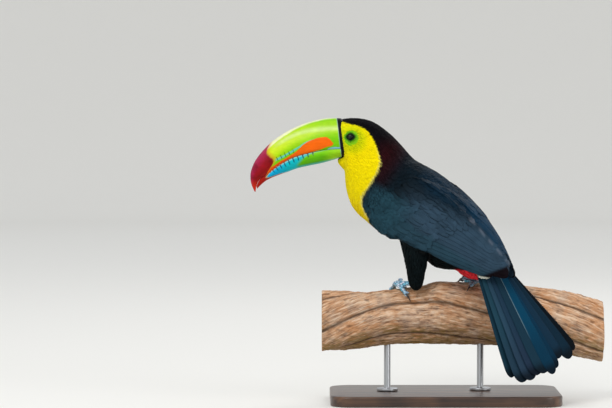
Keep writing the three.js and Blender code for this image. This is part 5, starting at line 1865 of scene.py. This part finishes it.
lacquered_wood, tree, shader = new_material("satin_lacquered_walnut", Roughness=0.34)
shader.inputs["Coat Weight"].default_value = 0.3
shader.inputs["Coat Roughness"].default_value = 0.25
where = add(tree, "TexCoord")
grain_space = add(tree, "Mapping", {"Vector": where.outputs["Object"], "Scale": (9, 150, 150)})
streaked = {"Vector": grain_space.outputs[0], "Scale": 1.0, "Detail": 6.0, "Distortion": 0.6}
grain = add(tree, "TexNoise", streaked)
waved = {"Scale": 12.0, "Distortion": 9.0, "Detail": 3.0, "Detail Scale": 0.8}
figure = add(tree, "TexWave", {"Vector": where.outputs["Object"], **waved}, bands_direction="Y")
mixed = add(tree, "Math", {0: figure.outputs["Fac"], 1: 0.3, 2: grain.outputs[0]}, operation="MULTIPLY_ADD")
ramp = [(0.35, "#2c1b12"), (0.6, "#4a3122"), (0.9, "#6b4a34")]
paint = add(tree, "ValToRGB", {"Fac": mixed.outputs[0]}, ramp=ramp)
bump = add(tree, "Bump", {"Height": grain.outputs[0], "Strength": 0.15, "Distance": 0.0004})
tree.links.new(paint.outputs[0], shader.inputs["Base Color"])
tree.links.new(bump.outputs[0], shader.inputs["Normal"])
finish(base, lacquered_wood, "stand_wood", "stand_base")
smooth_by_angle(base)

# %% The rods
satin_steel, tree, shader = new_material("satin_turned_steel", Metallic=1.0)
shader.inputs["Base Color"].default_value = linear("#b8babd")
where = add(tree, "TexCoord")
turned = add(tree, "Mapping", {"Vector": where.outputs["Object"], "Scale": (40, 40, 2600)})
marks = add(tree, "TexNoise", {"Vector": turned.outputs[0], "Scale": 1.0, "Detail": 2.0})
gloss = add(tree, "MapRange", {"Value": marks.outputs[0], "To Min": 0.26, "To Max": 0.42})
bump = add(tree, "Bump", {"Height": marks.outputs[0], "Strength": 0.08, "Distance": 0.0001})
tree.links.new(gloss.outputs[0], shader.inputs["Roughness"])
tree.links.new(bump.outputs[0], shader.inputs["Normal"])
ROD_RADIUS, FLANGE_THICK, ROD_EDGE = 0.004, 0.0035, 0.0008
for side in EYES:
    low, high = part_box(f"stand_rod_{side}")
    middle, flange_radius = (low + high) / 2, (high.x - low.x) / 2
    deselect()
    place = (middle.x, middle.y, low.z + FLANGE_THICK / 2)
    bpy.ops.mesh.primitive_cylinder_add(vertices=64, radius=flange_radius, depth=FLANGE_THICK, location=place)
    rod = bpy.context.active_object
    rod.name = f"stand_pin_{side}"
    bpy.ops.object.transform_apply(location=True, rotation=True, scale=True)
    in_edit_mode(rod, lambda: bpy.ops.mesh.select_mode(type="FACE"))
    for face in rod.data.polygons:
        face.select = face.normal.z > 0.5
    bpy.ops.object.mode_set(mode="EDIT")
    bpy.ops.mesh.inset(thickness=flange_radius - ROD_RADIUS)
    bpy.ops.mesh.extrude_region_move(TRANSFORM_OT_translate={"value": (0, 0, high.z - low.z - FLANGE_THICK)})
    bpy.ops.object.mode_set(mode="OBJECT")
    modify(rod, "BEVEL", width=ROD_EDGE, segments=3, limit_method="ANGLE", angle_limit=math.radians(40))
    finish(rod, satin_steel, "stand_steel", f"stand_rod_{side}")
    smooth_by_angle(rod)

# %% [markdown]
# ## Tidy up
# The guide, the coarse map and the master vanes were only tools, so they go.

# %% Remove the tools
for tool in [guide, coarse, *VANES.values()]:
    bpy.data.objects.remove(tool)
